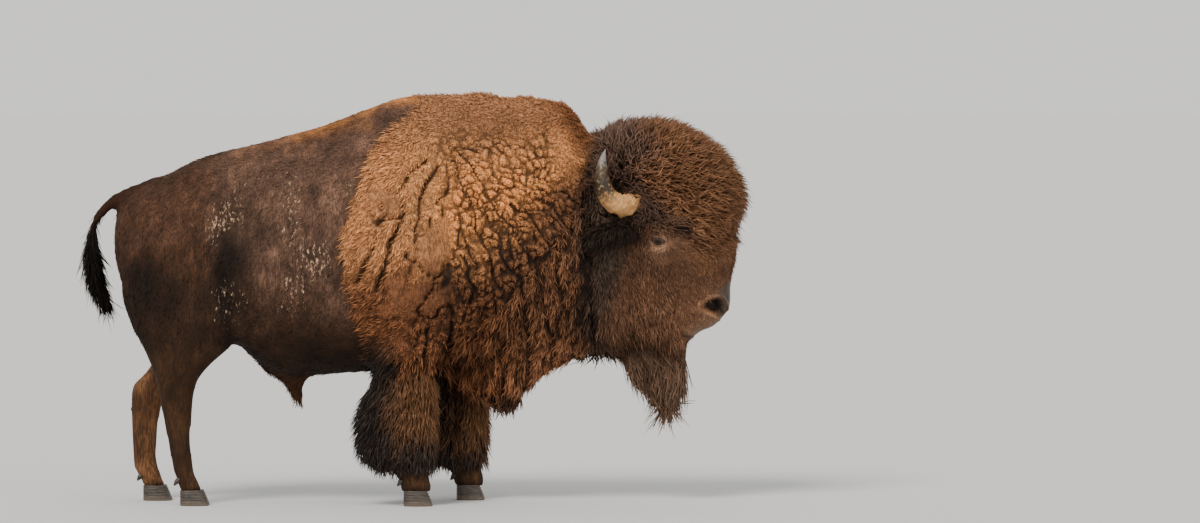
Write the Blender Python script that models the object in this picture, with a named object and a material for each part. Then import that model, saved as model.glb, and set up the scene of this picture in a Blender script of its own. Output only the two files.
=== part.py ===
"""American bison bull, standing, life size: a still model divided into its named parts.

Metres, +Z up. The head points to +X and the animal's left side to +Y. The hooves stand on z = 0
and the origin is at the middle of the animal's box on the floor. Each solid reaches out to the
tips of the coat.
"""

import math

import bmesh
import bpy
import numpy as np
from mathutils import Vector
from mathutils.bvhtree import BVHTree

# Driving sizes of the animal
HUMP_HEIGHT = 1.80
HUMP_X = 0.24
RUMP_X = -1.306
NECK_X = 0.80
BARREL_HALF_WIDTH = 0.40
CROWN_X, CROWN_Z = 0.93, 1.52
FACE_TILT_DEG = 59.8
EYE_X, EYE_Z = 1.061, 1.150
EYE_RADIUS = 0.022
EYE_SHOWS = 0.004
HORN_SPREAD = 0.64
FORE_TRACK = 0.200
HIND_TRACK = 0.165
FORE_STEP = 0.220

# Heights and planes at which the body is parted
PART_GAP = 0.0005
ELBOW_Z = 0.58
KNEE_Z = 0.40
STIFLE_Z = 0.69
HOCK_Z = 0.42
CORONET_Z = 0.068
TUFT_Z = 1.235
SHOULDER_X = 0.52
RIB_X = -0.16
HIP_X = -0.74

# Feet
FORE_FOOT_X = 0.004
HIND_FOOT_X = {"right": -0.965, "left": -1.150}
HOOF_HEEL = -0.046
HOOF_TOE = 0.080
HOOF_HALF_WIDTH = 0.060
CLEFT_HALF = 0.003
HOOF_LEAN = 0.026
DEWCLAW_RADIUS = 0.014

# Space of a leg below its upper cut, beside the chest or the belly
LEG_INNER_Y = 0.088
LEG_OUTER_Y = 0.45
FORELEG_BLOCK = (-0.30, 0.135)
HINDLEG_BLOCK = (-1.36, HIP_X)

# Making of the surface
VOXEL = 0.012
SMOOTH_PASSES = 4
FLESH_TRIANGLES = 3900
PIECE_TRIANGLES = {"horn": 260, "ear": 160, "beard": 300, "tail": 420, "sheath": 120}
RING_STEP = 0.03
PATH_STEP = 0.025
BODY_SIDES = 48
LIMB_SIDES = 24
SMALL_SIDES = 16
DIGIT_SIDES = 12
DEWCLAW_SIDES = 6
EYE_SEGMENTS, EYE_RINGS = 12, 8

SIDES = {"left": 1, "right": -1}
FAR = 3.0
HALF_GAP = PART_GAP / 2


def clear_scene():
    for obj in list(bpy.data.objects):
        bpy.data.objects.remove(obj, do_unlink=True)


def material(name, colour, roughness):
    made = bpy.data.materials.new(name)
    made.use_nodes = True
    shader = made.node_tree.nodes["Principled BSDF"]
    shader.inputs["Base Color"].default_value = (*colour, 1.0)
    shader.inputs["Roughness"].default_value = roughness
    shader.inputs["Metallic"].default_value = 0.0
    return made


def placed(name, mesh):
    """An object in the scene that holds the finished bmesh."""
    data = bpy.data.meshes.new(name)
    mesh.to_mesh(data)
    mesh.free()
    obj = bpy.data.objects.new(name, data)
    bpy.context.scene.collection.objects.link(obj)
    return obj


def smooth_rows(rows, step=RING_STEP):
    """The rows read as a smooth curve without overshoot, at about one ring for each step of the first value."""
    rows = np.array(rows, float)
    at = np.abs(rows[:, 0] - rows[0, 0])
    width = np.diff(at)[:, None]
    slope = np.diff(rows, axis=0) / width
    before, after = slope[:-1], slope[1:]
    mean = 2.0 * before * after / np.where(before + after == 0, 1.0, before + after)
    inner = np.where(before * after > 0, mean, 0.0)
    tangent = np.vstack([slope[:1], inner, slope[-1:]])
    count = max(3, int(math.ceil(at[-1] / step)) + 1)
    places = np.linspace(0.0, at[-1], count)
    span = np.clip(np.searchsorted(at, places, side="right") - 1, 0, len(width) - 1)
    t = ((places - at[span]) / width[span, 0])[:, None]
    start = (1 + 2 * t) * (1 - t) ** 2 * rows[span] + t * (1 - t) ** 2 * width[span] * tangent[span]
    end = t * t * (3 - 2 * t) * rows[span + 1] + t * t * (t - 1) * width[span] * tangent[span + 1]
    return start + end


def section(half_width, up, down, n_up, n_down, sides):
    """Two half superellipses that share their widest line, as points (across, height)."""
    angle = np.linspace(0.0, 2.0 * math.pi, sides, endpoint=False)
    c, s = np.cos(angle), np.sin(angle)
    power = np.where(s >= 0, 2.0 / n_up, 2.0 / n_down)
    across = half_width * np.sign(c) * np.abs(c) ** power
    height = np.where(s >= 0, up, down) * np.sign(s) * np.abs(s) ** power
    return np.stack([across, height], axis=1)


def skinned(name, rings):
    """A closed mesh through rings of equally many points, with a flat cap at each end."""
    rings = np.asarray(rings)
    count, sides = rings.shape[:2]
    mesh = bmesh.new()
    verts = [[mesh.verts.new(point) for point in ring] for ring in rings]
    for low, high in zip(verts[:-1], verts[1:]):
        for i in range(sides):
            j = (i + 1) % sides
            mesh.faces.new((low[i], low[j], high[j], high[i]))
    mesh.faces.new(verts[0])
    mesh.faces.new(verts[-1])
    bmesh.ops.recalc_face_normals(mesh, faces=mesh.faces)
    return placed(name, mesh)


def along_x(name, rows, sides=BODY_SIDES):
    """Rows of x, top, widest height, bottom, half-width, and the exponents above and below."""
    rings = []
    for x, top, widest, bottom, half, n_up, n_down in smooth_rows(rows):
        outline = section(half, top - widest, widest - bottom, n_up, n_down, sides)
        rings.append([(x, a, widest + h) for a, h in outline])
    return skinned(name, rings)


def along_z(name, rows, sides=LIMB_SIDES, exponent=2.2):
    """Rows of z, front x, back x, centre y and half-width, from the top down."""
    rings = []
    for z, front, back, centre_y, half in smooth_rows(rows):
        outline = section(half, (front - back) / 2, (front - back) / 2, exponent, exponent, sides)
        rings.append([((front + back) / 2 + h, centre_y + a, z) for a, h in outline])
    return skinned(name, rings)


def head_point(along, out, across=0.0):
    """A point given along the head's axis from the crown to the muzzle, and outward from that axis."""
    tilt = math.radians(FACE_TILT_DEG)
    x = CROWN_X + along * math.cos(tilt) + out * math.sin(tilt)
    z = CROWN_Z - along * math.sin(tilt) + out * math.cos(tilt)
    return (x, across, z)


def along_head(name, rows, sides=BODY_SIDES):
    """Rows of the place along the head, front, widest line, back, half-width and two exponents."""
    rings = []
    for along, front, widest, back, half, n_up, n_down in smooth_rows(rows):
        outline = section(half, front - widest, widest - back, n_up, n_down, sides)
        rings.append([head_point(along, widest + h, a) for a, h in outline])
    return skinned(name, rings)


def along_path(name, rows, sides=SMALL_SIDES, up=(0.0, 0.0, 1.0), step=PATH_STEP):
    """Rows of the distance parameter, x, y, z, half-thickness across and half-height."""
    rows = smooth_rows(rows, step)
    points = rows[:, 1:4]
    heading = np.gradient(points, axis=0)
    rings = []
    for point, ahead, half, tall in zip(points, heading, rows[:, 4], rows[:, 5]):
        forward = Vector(ahead).normalized()
        side = forward.cross(Vector(up)).normalized()
        rise = side.cross(forward)
        outline = section(half, tall, tall, 2.0, 2.0, sides)
        rings.append([Vector(point) + side * a + rise * h for a, h in outline])
    return skinned(name, rings)


def trunk():
    """Rump, loins, barrel, hump and neck, out to the tips of the coat."""
    w = BARREL_HALF_WIDTH
    rows = [
        (RUMP_X, 1.225, 1.14, 1.06, 0.07, 2.0, 2.0),
        (-1.285, 1.285, 1.14, 0.97, 0.13, 2.0, 2.0),
        (-1.240, 1.330, 1.13, 0.90, 0.185, 2.0, 2.1),
        (-1.160, 1.392, 1.12, 0.82, 0.230, 1.9, 2.2),
        (-1.050, 1.452, 1.12, 0.76, 0.255, 1.8, 2.2),
        (-0.910, 1.517, 1.12, 0.71, 0.272, 1.7, 2.2),
        (-0.761, 1.555, 1.09, 0.672, 0.300, 1.7, 2.2),
        (-0.700, 1.568, 1.07, 0.632, 0.316, 1.7, 2.2),
        (-0.610, 1.592, 1.05, 0.566, 0.342, 1.7, 2.2),
        (-0.520, 1.615, 1.04, 0.548, 0.365, 1.7, 2.2),
        (-0.364, 1.661, 1.02, 0.560, 0.385, 1.7, 2.2),
        (-0.194, 1.728, 1.02, 0.574, 0.397, 1.65, 2.2),
        (-0.060, 1.773, 1.04, 0.585, w, 1.6, 2.2),
        (0.090, 1.796, 1.06, 0.60, 0.400, 1.55, 2.2),
        (HUMP_X, HUMP_HEIGHT + 0.003, 1.07, 0.61, 0.390, 1.55, 2.2),
        (0.400, 1.793, 1.07, 0.615, 0.370, 1.6, 2.2),
        (0.530, 1.775, 1.07, 0.610, 0.345, 1.7, 2.2),
        (0.617, 1.765, 1.07, 0.610, 0.325, 1.8, 2.2),
        (0.691, 1.730, 1.07, 0.610, 0.305, 1.9, 2.2),
        (0.745, 1.650, 1.06, 0.615, 0.290, 2.0, 2.2),
        (NECK_X, 1.560, 1.05, 0.625, 0.275, 2.0, 2.2),
        (0.880, 1.460, 1.04, 0.650, 0.245, 2.0, 2.2),
        (0.960, 1.400, 1.03, 0.720, 0.180, 2.0, 2.2),
    ]
    return along_x("flesh_trunk", rows)


def chest_mane():
    """The fringe of long hair that hangs from throat and brisket."""
    rows = [
        (0.020, 0.80, 0.74, 0.600, 0.07, 2.0, 1.6),
        (0.150, 0.86, 0.76, 0.520, 0.11, 2.0, 1.5),
        (0.270, 0.90, 0.76, 0.430, 0.145, 2.0, 1.4),
        (0.334, 0.92, 0.76, 0.385, 0.165, 2.0, 1.35),
        (0.392, 0.94, 0.77, 0.368, 0.175, 2.0, 1.3),
        (0.450, 0.94, 0.78, 0.380, 0.180, 2.0, 1.3),
        (0.525, 0.95, 0.80, 0.466, 0.185, 2.0, 1.35),
        (0.586, 0.95, 0.82, 0.536, 0.190, 2.0, 1.4),
        (0.709, 0.96, 0.84, 0.588, 0.190, 2.0, 1.5),
        (0.813, 0.96, 0.86, 0.620, 0.180, 2.0, 1.6),
        (0.880, 0.96, 0.88, 0.680, 0.150, 2.0, 1.8),
    ]
    return along_x("flesh_mane", rows, LIMB_SIDES)


def head():
    """Crown, woolly forehead, face, cheeks and muzzle about the head's own axis."""
    rows = [
        (-0.150, 0.010, -0.04, -0.100, 0.060, 2.0, 2.0),
        (-0.134, 0.058, -0.02, -0.145, 0.115, 2.0, 2.0),
        (-0.092, 0.148, 0.03, -0.185, 0.165, 2.0, 2.0),
        (-0.036, 0.230, 0.07, -0.210, 0.205, 2.1, 2.0),
        (0.040, 0.293, 0.10, -0.225, 0.230, 2.2, 2.0),
        (0.110, 0.335, 0.11, -0.240, 0.242, 2.3, 2.0),
        (0.220, 0.374, 0.12, -0.260, 0.246, 2.3, 2.0),
        (0.330, 0.378, 0.12, -0.280, 0.238, 2.3, 2.1),
        (0.410, 0.356, 0.10, -0.295, 0.222, 2.2, 2.2),
        (0.477, 0.303, 0.05, -0.300, 0.200, 2.1, 2.3),
        (0.530, 0.238, 0.00, -0.300, 0.180, 2.0, 2.4),
        (0.590, 0.213, -0.04, -0.295, 0.160, 2.0, 2.4),
        (0.635, 0.184, -0.07, -0.280, 0.144, 2.0, 2.4),
        (0.700, 0.118, -0.08, -0.255, 0.124, 2.2, 2.4),
        (0.745, 0.084, -0.06, -0.215, 0.110, 2.5, 2.3),
        (0.790, 0.062, -0.04, -0.165, 0.098, 2.5, 2.3),
        (0.820, 0.020, -0.05, -0.135, 0.075, 2.3, 2.2),
        (0.834, -0.030, -0.06, -0.095, 0.040, 2.0, 2.0),
    ]
    return along_head("flesh_head", rows)


def jaw():
    """Cheeks, lower jaw and chin below the mouth, with the hair that hides the angle of the jaw."""
    rows = [
        (1.06, 1.20, 0.80, 0.0, 0.150),
        (0.96, 1.24, 0.79, 0.0, 0.165),
        (0.86, 1.25, 0.79, 0.0, 0.160),
        (0.78, 1.235, 0.80, 0.0, 0.140),
        (0.70, 1.222, 0.83, 0.0, 0.115),
        (0.655, 1.200, 0.87, 0.0, 0.085),
    ]
    return along_z("flesh_jaw", rows, BODY_SIDES, 2.4)


def beard():
    """The long beard, flattened from side to side, to its pointed tip."""
    rows = [
        (0.80, 1.195, 0.87, 0.0, 0.095),
        (0.74, 1.215, 0.845, 0.0, 0.105),
        (0.68, 1.217, 0.840, 0.0, 0.105),
        (0.62, 1.214, 0.862, 0.0, 0.098),
        (0.555, 1.209, 0.918, 0.0, 0.086),
        (0.505, 1.198, 0.968, 0.0, 0.070),
        (0.462, 1.176, 1.022, 0.0, 0.054),
        (0.425, 1.142, 1.064, 0.0, 0.036),
        (0.391, 1.108, 1.088, 0.0, 0.012),
    ]
    return along_z("raw_beard", rows, LIMB_SIDES, 2.0)


def foreleg(side):
    """Forearm with its long chaps, knee and cannon. The left one stands a step ahead."""
    ahead = FORE_STEP if side > 0 else 0.0
    track = side * FORE_TRACK
    rows = [
        (0.950, 0.240, -0.150, 0.95, 0.120),
        (0.760, 0.160, -0.180, 1.00, 0.132),
        (0.640, 0.122, -0.190, 1.00, 0.132),
        (0.571, 0.114, -0.192, 1.00, 0.128),
        (0.471, 0.110, -0.224, 1.00, 0.122),
        (0.360, 0.108, -0.254, 1.00, 0.118),
        (0.260, 0.105, -0.248, 1.00, 0.106),
        (0.205, 0.098, -0.205, 0.98, 0.086),
        (0.165, 0.080, -0.125, 0.96, 0.064),
        (0.130, 0.072, -0.072, 0.95, 0.056),
        (0.095, 0.076, -0.058, 0.95, 0.056),
        (0.050, 0.086, -0.050, 0.95, 0.060),
    ]
    moved = [(z, front + ahead, back + ahead, track * wide, half) for z, front, back, wide, half in rows]
    return along_z(f"flesh_foreleg_{side}", moved)


def hindleg(side):
    """Thigh, gaskin, hock and cannon. The right leg stands under the body, the left one behind it."""
    track = side * HIND_TRACK
    if side < 0:
        lines = [
            (1.150, -0.800, -1.270, 0.90, 0.120),
            (0.950, -0.750, -1.270, 0.95, 0.130),
            (0.800, -0.725, -1.234, 1.00, 0.125),
            (0.700, -0.775, -1.182, 1.02, 0.108),
            (0.654, -0.828, -1.158, 1.04, 0.096),
            (0.602, -0.886, -1.136, 1.05, 0.084),
            (0.535, -0.936, -1.116, 1.05, 0.069),
            (0.470, -0.950, -1.104, 1.04, 0.060),
            (0.400, -0.957, -1.090, 1.02, 0.051),
            (0.300, -0.964, -1.070, 1.00, 0.045),
            (0.190, -0.957, -1.051, 0.98, 0.045),
            (0.135, -0.948, -1.040, 0.97, 0.050),
            (0.095, -0.930, -1.020, 0.97, 0.050),
            (0.050, -0.908, -1.010, 0.97, 0.056),
        ]
    else:
        lines = [
            (1.150, -0.800, -1.250, 0.90, 0.120),
            (0.950, -0.780, -1.262, 0.95, 0.130),
            (0.800, -0.800, -1.210, 1.00, 0.125),
            (0.700, -0.870, -1.165, 1.02, 0.108),
            (0.630, -0.950, -1.150, 1.04, 0.090),
            (0.560, -1.020, -1.188, 1.05, 0.070),
            (0.490, -1.082, -1.252, 1.04, 0.061),
            (0.410, -1.116, -1.254, 1.02, 0.052),
            (0.300, -1.133, -1.250, 1.00, 0.045),
            (0.190, -1.138, -1.244, 0.98, 0.045),
            (0.135, -1.126, -1.236, 0.97, 0.051),
            (0.095, -1.112, -1.206, 0.97, 0.050),
            (0.050, -1.090, -1.192, 0.97, 0.056),
        ]
    moved = [(z, front, back, track * wide, half) for z, front, back, wide, half in lines]
    return along_z(f"flesh_hindleg_{side}", moved)


def tail():
    """Dock and hanging tuft: distance along the tail, x, y, z and two half-thicknesses."""
    rows = [
        (0.00, -1.010, 0.000, 1.395, 0.030, 0.030),
        (0.09, -1.095, 0.000, 1.398, 0.034, 0.032),
        (0.20, -1.200, -0.004, 1.370, 0.027, 0.027),
        (0.30, -1.293, -0.008, 1.330, 0.024, 0.025),
        (0.38, -1.356, -0.010, 1.274, 0.024, 0.024),
        (0.46, -1.396, -0.012, 1.205, 0.028, 0.028),
        (0.56, -1.402, -0.014, 1.110, 0.037, 0.040),
        (0.66, -1.394, -0.014, 1.015, 0.039, 0.042),
        (0.75, -1.370, -0.014, 0.930, 0.030, 0.030),
        (0.82, -1.330, -0.014, 0.872, 0.007, 0.007),
    ]
    return along_path("raw_tail", rows, SMALL_SIDES, up=(0.0, 1.0, 0.0))


def sheath():
    """The tufted sheath under the belly."""
    rows = [
        (0.640, -0.340, -0.720, 0.0, 0.060),
        (0.575, -0.400, -0.660, 0.0, 0.054),
        (0.545, -0.450, -0.610, 0.0, 0.046),
        (0.526, -0.474, -0.580, 0.0, 0.038),
        (0.500, -0.480, -0.558, 0.0, 0.032),
        (0.465, -0.480, -0.542, 0.0, 0.024),
        (0.443, -0.482, -0.524, 0.0, 0.014),
        (0.430, -0.490, -0.508, 0.0, 0.005),
    ]
    return along_z("raw_sheath", rows, SMALL_SIDES, 2.0)


def ear(side):
    """A hairy ear that points out, back and a little down behind the horn."""
    rows = [
        (0.00, 0.985, 0.150, 1.205, 0.036, 0.036),
        (0.08, 0.915, 0.205, 1.193, 0.040, 0.044),
        (0.15, 0.855, 0.250, 1.178, 0.042, 0.048),
        (0.22, 0.800, 0.286, 1.160, 0.036, 0.042),
        (0.28, 0.758, 0.308, 1.144, 0.024, 0.028),
        (0.31, 0.738, 0.316, 1.136, 0.008, 0.010),
    ]
    moved = [(at, x, side * y, z, half, tall) for at, x, y, z, half, tall in rows]
    return along_path(f"raw_ear_{side}", moved)


def horn(side):
    """A short thick horn: out and back from a lumpy base, then up and in to the tip."""
    reach = HORN_SPREAD / 2
    rows = [
        (0.00, 0.962, reach - 0.170, 1.312, 0.050, 0.050),
        (0.07, 0.918, reach - 0.115, 1.302, 0.052, 0.051),
        (0.13, 0.880, reach - 0.070, 1.310, 0.047, 0.047),
        (0.20, 0.836, reach - 0.036, 1.350, 0.042, 0.042),
        (0.27, 0.818, reach - 0.030, 1.415, 0.036, 0.037),
        (0.34, 0.818, reach - 0.036, 1.475, 0.027, 0.028),
        (0.39, 0.826, reach - 0.048, 1.520, 0.014, 0.015),
        (0.42, 0.832, reach - 0.056, 1.545, 0.003, 0.003),
    ]
    moved = [(at, x, side * y, z, half, tall) for at, x, y, z, half, tall in rows]
    return along_path(f"raw_horn_{side}", moved, SMALL_SIDES, up=(0.0, side * 1.0, 0.3))


def hoof_digit(name, foot_x, track, outward):
    """One of a foot's two claws: a flat sole, a sloping wall and a straight inner side."""
    mid_top = CORONET_Z - PART_GAP
    levels = [(0.0, 1.0, 0.97), (0.004, 1.0, 1.0), (mid_top, 0.0, 0.90)]
    angles = np.linspace(0.0, 2.0 * math.pi, DIGIT_SIDES, endpoint=False)
    rings = []
    for z, lean, size in levels:
        toe = HOOF_TOE - HOOF_LEAN * (1.0 - lean)
        middle, reach = (toe + HOOF_HEEL) / 2, (toe - HOOF_HEEL) / 2
        half = (HOOF_HALF_WIDTH * size - CLEFT_HALF) / 2
        ring = []
        for angle in angles:
            c, s = math.cos(angle), math.sin(angle)
            x = middle + reach * math.copysign(abs(c) ** 0.8, c)
            bulge = math.copysign(abs(s) ** (0.8 if s > 0 else 0.35), s)
            narrow = 1.0 - 0.38 * max(c, 0.0) ** 3 * (s > 0)
            across = CLEFT_HALF + half + half * bulge * narrow
            ring.append((foot_x + x, track + outward * across, z))
        rings.append(ring)
    return skinned(name, rings)


def dewclaw(name, foot_x, track, outward):
    """A small claw behind the fetlock that points down and back."""
    y = track + outward * 0.030
    rows = [
        (0.000, foot_x - 0.028, y, 0.128, DEWCLAW_RADIUS, DEWCLAW_RADIUS),
        (0.030, foot_x - 0.052, y, 0.112, DEWCLAW_RADIUS, DEWCLAW_RADIUS),
        (0.055, foot_x - 0.068, y, 0.094, DEWCLAW_RADIUS * 0.7, DEWCLAW_RADIUS * 0.7),
        (0.064, foot_x - 0.072, y, 0.087, DEWCLAW_RADIUS * 0.25, DEWCLAW_RADIUS * 0.25),
    ]
    return along_path(name, rows, DEWCLAW_SIDES, step=RING_STEP)


def block(name, low, high):
    """A closed box between two corners."""
    mesh = bmesh.new()
    bmesh.ops.create_cube(mesh, size=1.0)
    low, high = Vector(low), Vector(high)
    middle, size = (low + high) / 2, high - low
    for vert in mesh.verts:
        vert.co = Vector(vert.co[i] * size[i] + middle[i] for i in range(3))
    return placed(name, mesh)


def baked(obj):
    """Give the object the mesh that its modifiers make, and take the modifiers away."""
    bpy.context.view_layer.update()
    graph = bpy.context.evaluated_depsgraph_get()
    data = bpy.data.meshes.new_from_object(obj.evaluated_get(graph))
    obj.modifiers.clear()
    obj.data = data
    return obj


def combined(obj, other, operation):
    cut = obj.modifiers.new(operation.lower(), "BOOLEAN")
    cut.operation = operation
    cut.object = other
    cut.solver = "EXACT"
    return baked(obj)


def copy_of(obj, name):
    made = bpy.data.objects.new(name, obj.data.copy())
    bpy.context.scene.collection.objects.link(made)
    return made


def remove(obj):
    bpy.data.objects.remove(obj, do_unlink=True)


def largest_island(obj):
    """Drop crumbs that a cut left beside the main body."""
    mesh = bmesh.new()
    mesh.from_mesh(obj.data)
    bmesh.ops.remove_doubles(mesh, verts=mesh.verts, dist=1e-6)
    waiting = set(mesh.verts)
    islands = []
    while waiting:
        edge, found = [waiting.pop()], set()
        while edge:
            vert = edge.pop()
            found.add(vert)
            for link in vert.link_edges:
                other = link.other_vert(vert)
                if other in waiting:
                    waiting.discard(other)
                    edge.append(other)
        islands.append(found)
    islands.sort(key=len)
    crumbs = [vert for island in islands[:-1] for vert in island]
    if crumbs:
        print(obj.name, "dropped", len(islands) - 1, "crumbs of", len(crumbs), "corners")
    bmesh.ops.delete(mesh, geom=crumbs, context="VERTS")
    mesh.to_mesh(obj.data)
    mesh.free()


def thinned(obj, triangles):
    """The same piece with about this many triangles."""
    now = sum(len(face.vertices) - 2 for face in obj.data.polygons)
    fewer = obj.modifiers.new("fewer faces", "DECIMATE")
    fewer.ratio = min(1.0, triangles / now)
    fewer.use_collapse_triangulate = True
    return baked(obj)


def whole_flesh():
    """Trunk, head, jaw, mane and legs grown together into one closed surface."""
    pieces = [trunk(), chest_mane(), head(), jaw()]
    pieces += [foreleg(side) for side in SIDES.values()]
    pieces += [hindleg(side) for side in SIDES.values()]
    mesh = bmesh.new()
    for piece in pieces:
        mesh.from_mesh(piece.data)
        remove(piece)
    flesh = placed("flesh", mesh)
    voxels = flesh.modifiers.new("grow together", "REMESH")
    voxels.mode = "VOXEL"
    voxels.voxel_size = VOXEL
    smooth = flesh.modifiers.new("smooth", "SMOOTH")
    smooth.factor = 0.5
    smooth.iterations = SMOOTH_PASSES
    return thinned(baked(flesh), FLESH_TRIANGLES)


def swollen(obj, by):
    """A copy pushed out along its normals, so that what it cuts keeps a gap to the original."""
    made = copy_of(obj, obj.name + "_swollen")
    for vert, normal in zip(made.data.vertices, [v.normal.copy() for v in obj.data.vertices]):
        vert.co += normal * by
    return made


def leg_blocks():
    """The space of each leg below its upper cut, by name: its x and y limits and its upper and middle cuts."""
    blocks = {}
    for word, side in SIDES.items():
        ahead = FORE_STEP if side > 0 else 0.0
        low, high = sorted((side * LEG_INNER_Y, side * LEG_OUTER_Y))
        back, front = FORELEG_BLOCK
        blocks[f"foreleg_{word}"] = (back + ahead, front + ahead, low, high, ELBOW_Z, KNEE_Z)
        low, high = sorted((side * HALF_GAP, side * LEG_OUTER_Y))
        blocks[f"hindleg_{word}"] = (*HINDLEG_BLOCK, low, high, STIFLE_Z, HOCK_Z)
    return blocks


def part_flesh(flesh):
    """Divide the flesh by thin cuts into head, neck, trunk and two lengths of each leg."""
    nodes = []
    lengths = {
        "hindquarters": (-FAR, HIP_X),
        "barrel": (HIP_X, RIB_X),
        "forequarters": (RIB_X, SHOULDER_X),
        "neck": (SHOULDER_X, NECK_X),
        "head": (NECK_X, FAR),
    }
    legs = leg_blocks()
    for name, (back, front) in lengths.items():
        node = copy_of(flesh, name)
        space = block("space", (back + HALF_GAP, -FAR, -FAR), (front - HALF_GAP, FAR, FAR))
        combined(node, space, "INTERSECT")
        remove(space)
        for x0, x1, y0, y1, top, _ in legs.values():
            if x1 < back or x0 > front:
                continue
            space = block("space", (x0, y0, -FAR), (x1, y1, top))
            combined(node, space, "DIFFERENCE")
            remove(space)
        nodes.append(node)
    for name, (x0, x1, y0, y1, top, middle) in legs.items():
        spans = {"upper": (middle, top - HALF_GAP), "lower": (CORONET_Z - HALF_GAP, middle)}
        for length, (low, high) in spans.items():
            node = copy_of(flesh, f"{name}_{length}")
            corner = (x0 + PART_GAP, y0 + PART_GAP, low + HALF_GAP)
            far_corner = (x1 - PART_GAP, y1 - PART_GAP, high - HALF_GAP)
            space = block("space", corner, far_corner)
            combined(node, space, "INTERSECT")
            remove(space)
            nodes.append(node)
    return nodes


def surface_side(flesh, x, z, side):
    """How far out from the middle plane the flesh reaches at (x, z)."""
    tree = BVHTree.FromObject(flesh, bpy.context.evaluated_depsgraph_get())
    hit = tree.ray_cast(Vector((x, side * FAR, z)), Vector((0.0, -side, 0.0)))[0]
    return abs(hit.y)


def eyes(flesh):
    """Eyeballs set in the head so that only a shallow cap stands out of the coat."""
    made = []
    for word, side in SIDES.items():
        depth = surface_side(flesh, EYE_X, EYE_Z, side) + EYE_SHOWS - EYE_RADIUS
        for name, radius in ((f"eye_{word}", EYE_RADIUS), (f"socket_{word}", EYE_RADIUS + PART_GAP)):
            mesh = bmesh.new()
            bmesh.ops.create_uvsphere(mesh, u_segments=EYE_SEGMENTS, v_segments=EYE_RINGS, radius=radius)
            bmesh.ops.translate(mesh, verts=mesh.verts, vec=(EYE_X, side * depth, EYE_Z))
            made.append(placed(name, mesh))
    return made


def attached(obj, name, body, look):
    """A loose piece with its root cut away where it meets the body."""
    obj.name = name
    combined(obj, body, "DIFFERENCE")
    largest_island(obj)
    obj.data.materials.clear()
    obj.data.materials.append(look)
    return obj


def add_on(obj, kind, name, body, look):
    """A piece that grows out of the body, at the fineness of its kind."""
    return attached(thinned(obj, PIECE_TRIANGLES[kind]), name, body, look)


def split_across(obj, z, upper, lower):
    """Divide a hanging piece in two at a height."""
    for name, low, high in ((upper, z + HALF_GAP, FAR), (lower, -FAR, z - HALF_GAP)):
        space = block("space", (-FAR, -FAR, low), (FAR, FAR, high))
        combined(copy_of(obj, name), space, "INTERSECT")
        remove(space)
    remove(obj)


def feet():
    """Hooves and dewclaws: two of each on every foot."""
    hooves, claws = [], []
    for word, side in SIDES.items():
        ahead = FORE_STEP if side > 0 else 0.0
        places = {
            "fore": (FORE_FOOT_X + ahead, side * FORE_TRACK * 0.95),
            "hind": (HIND_FOOT_X[word], side * HIND_TRACK * 0.97),
        }
        for end, (foot_x, track) in places.items():
            for digit, outward in (("outer", side), ("inner", -side)):
                hooves.append(hoof_digit(f"hoof_{end}_{word}_{digit}", foot_x, track, outward))
                claws.append(dewclaw(f"dewclaw_{end}_{word}_{digit}", foot_x, track, outward))
    return hooves, claws


def stand_at_origin():
    """Move the whole animal so that the middle of its box lies over the origin."""
    corners = np.array([vert.co for obj in bpy.data.objects for vert in obj.data.vertices])
    low, high = corners.min(axis=0), corners.max(axis=0)
    shift = Vector((-(low[0] + high[0]) / 2, -(low[1] + high[1]) / 2, -low[2]))
    print("moved to the origin by", [round(part, 5) for part in shift])
    for obj in bpy.data.objects:
        for vert in obj.data.vertices:
            vert.co += shift


def main():
    clear_scene()
    coat = material("coat", (0.12, 0.055, 0.028), 0.9)
    dark_coat = material("dark_coat", (0.03, 0.018, 0.011), 0.9)
    hoof_horn = material("hoof_horn", (0.03, 0.024, 0.02), 0.5)
    pale_horn = material("pale_horn", (0.25, 0.18, 0.11), 0.45)
    eye_dark = material("eye_dark", (0.012, 0.008, 0.006), 0.05)

    flesh = whole_flesh()
    body = swollen(flesh, PART_GAP)
    nodes = part_flesh(flesh)
    head_node = next(node for node in nodes if node.name == "head")
    balls = eyes(flesh)
    for socket in [ball for ball in balls if ball.name.startswith("socket")]:
        combined(head_node, socket, "DIFFERENCE")
        remove(socket)
    for node in nodes:
        largest_island(node)
        node.data.materials.clear()
        node.data.materials.append(coat)

    for word, side in SIDES.items():
        bpy.data.objects[f"eye_{word}"].data.materials.append(eye_dark)
        add_on(horn(side), "horn", f"horn_{word}", body, pale_horn)
        add_on(ear(side), "ear", f"ear_{word}", body, dark_coat)
    for name, make in (("beard", beard), ("tail", tail), ("sheath", sheath)):
        add_on(make(), name, name, body, dark_coat)
    split_across(bpy.data.objects["tail"], TUFT_Z, "tail_dock", "tail_tuft")

    hooves, claws = feet()
    for hoof in hooves:
        hoof.data.materials.append(hoof_horn)
    for claw in claws:
        attached(claw, claw.name, body, hoof_horn)

    remove(body)
    remove(flesh)
    stand_at_origin()
    for obj in bpy.data.objects:
        obj.data.shade_smooth()
    print("triangles", sum(len(f.vertices) - 2 for obj in bpy.data.objects for f in obj.data.polygons))


main()
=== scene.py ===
import bmesh
import bpy
import numpy as np
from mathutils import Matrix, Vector
from mathutils.bvhtree import BVHTree


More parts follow.
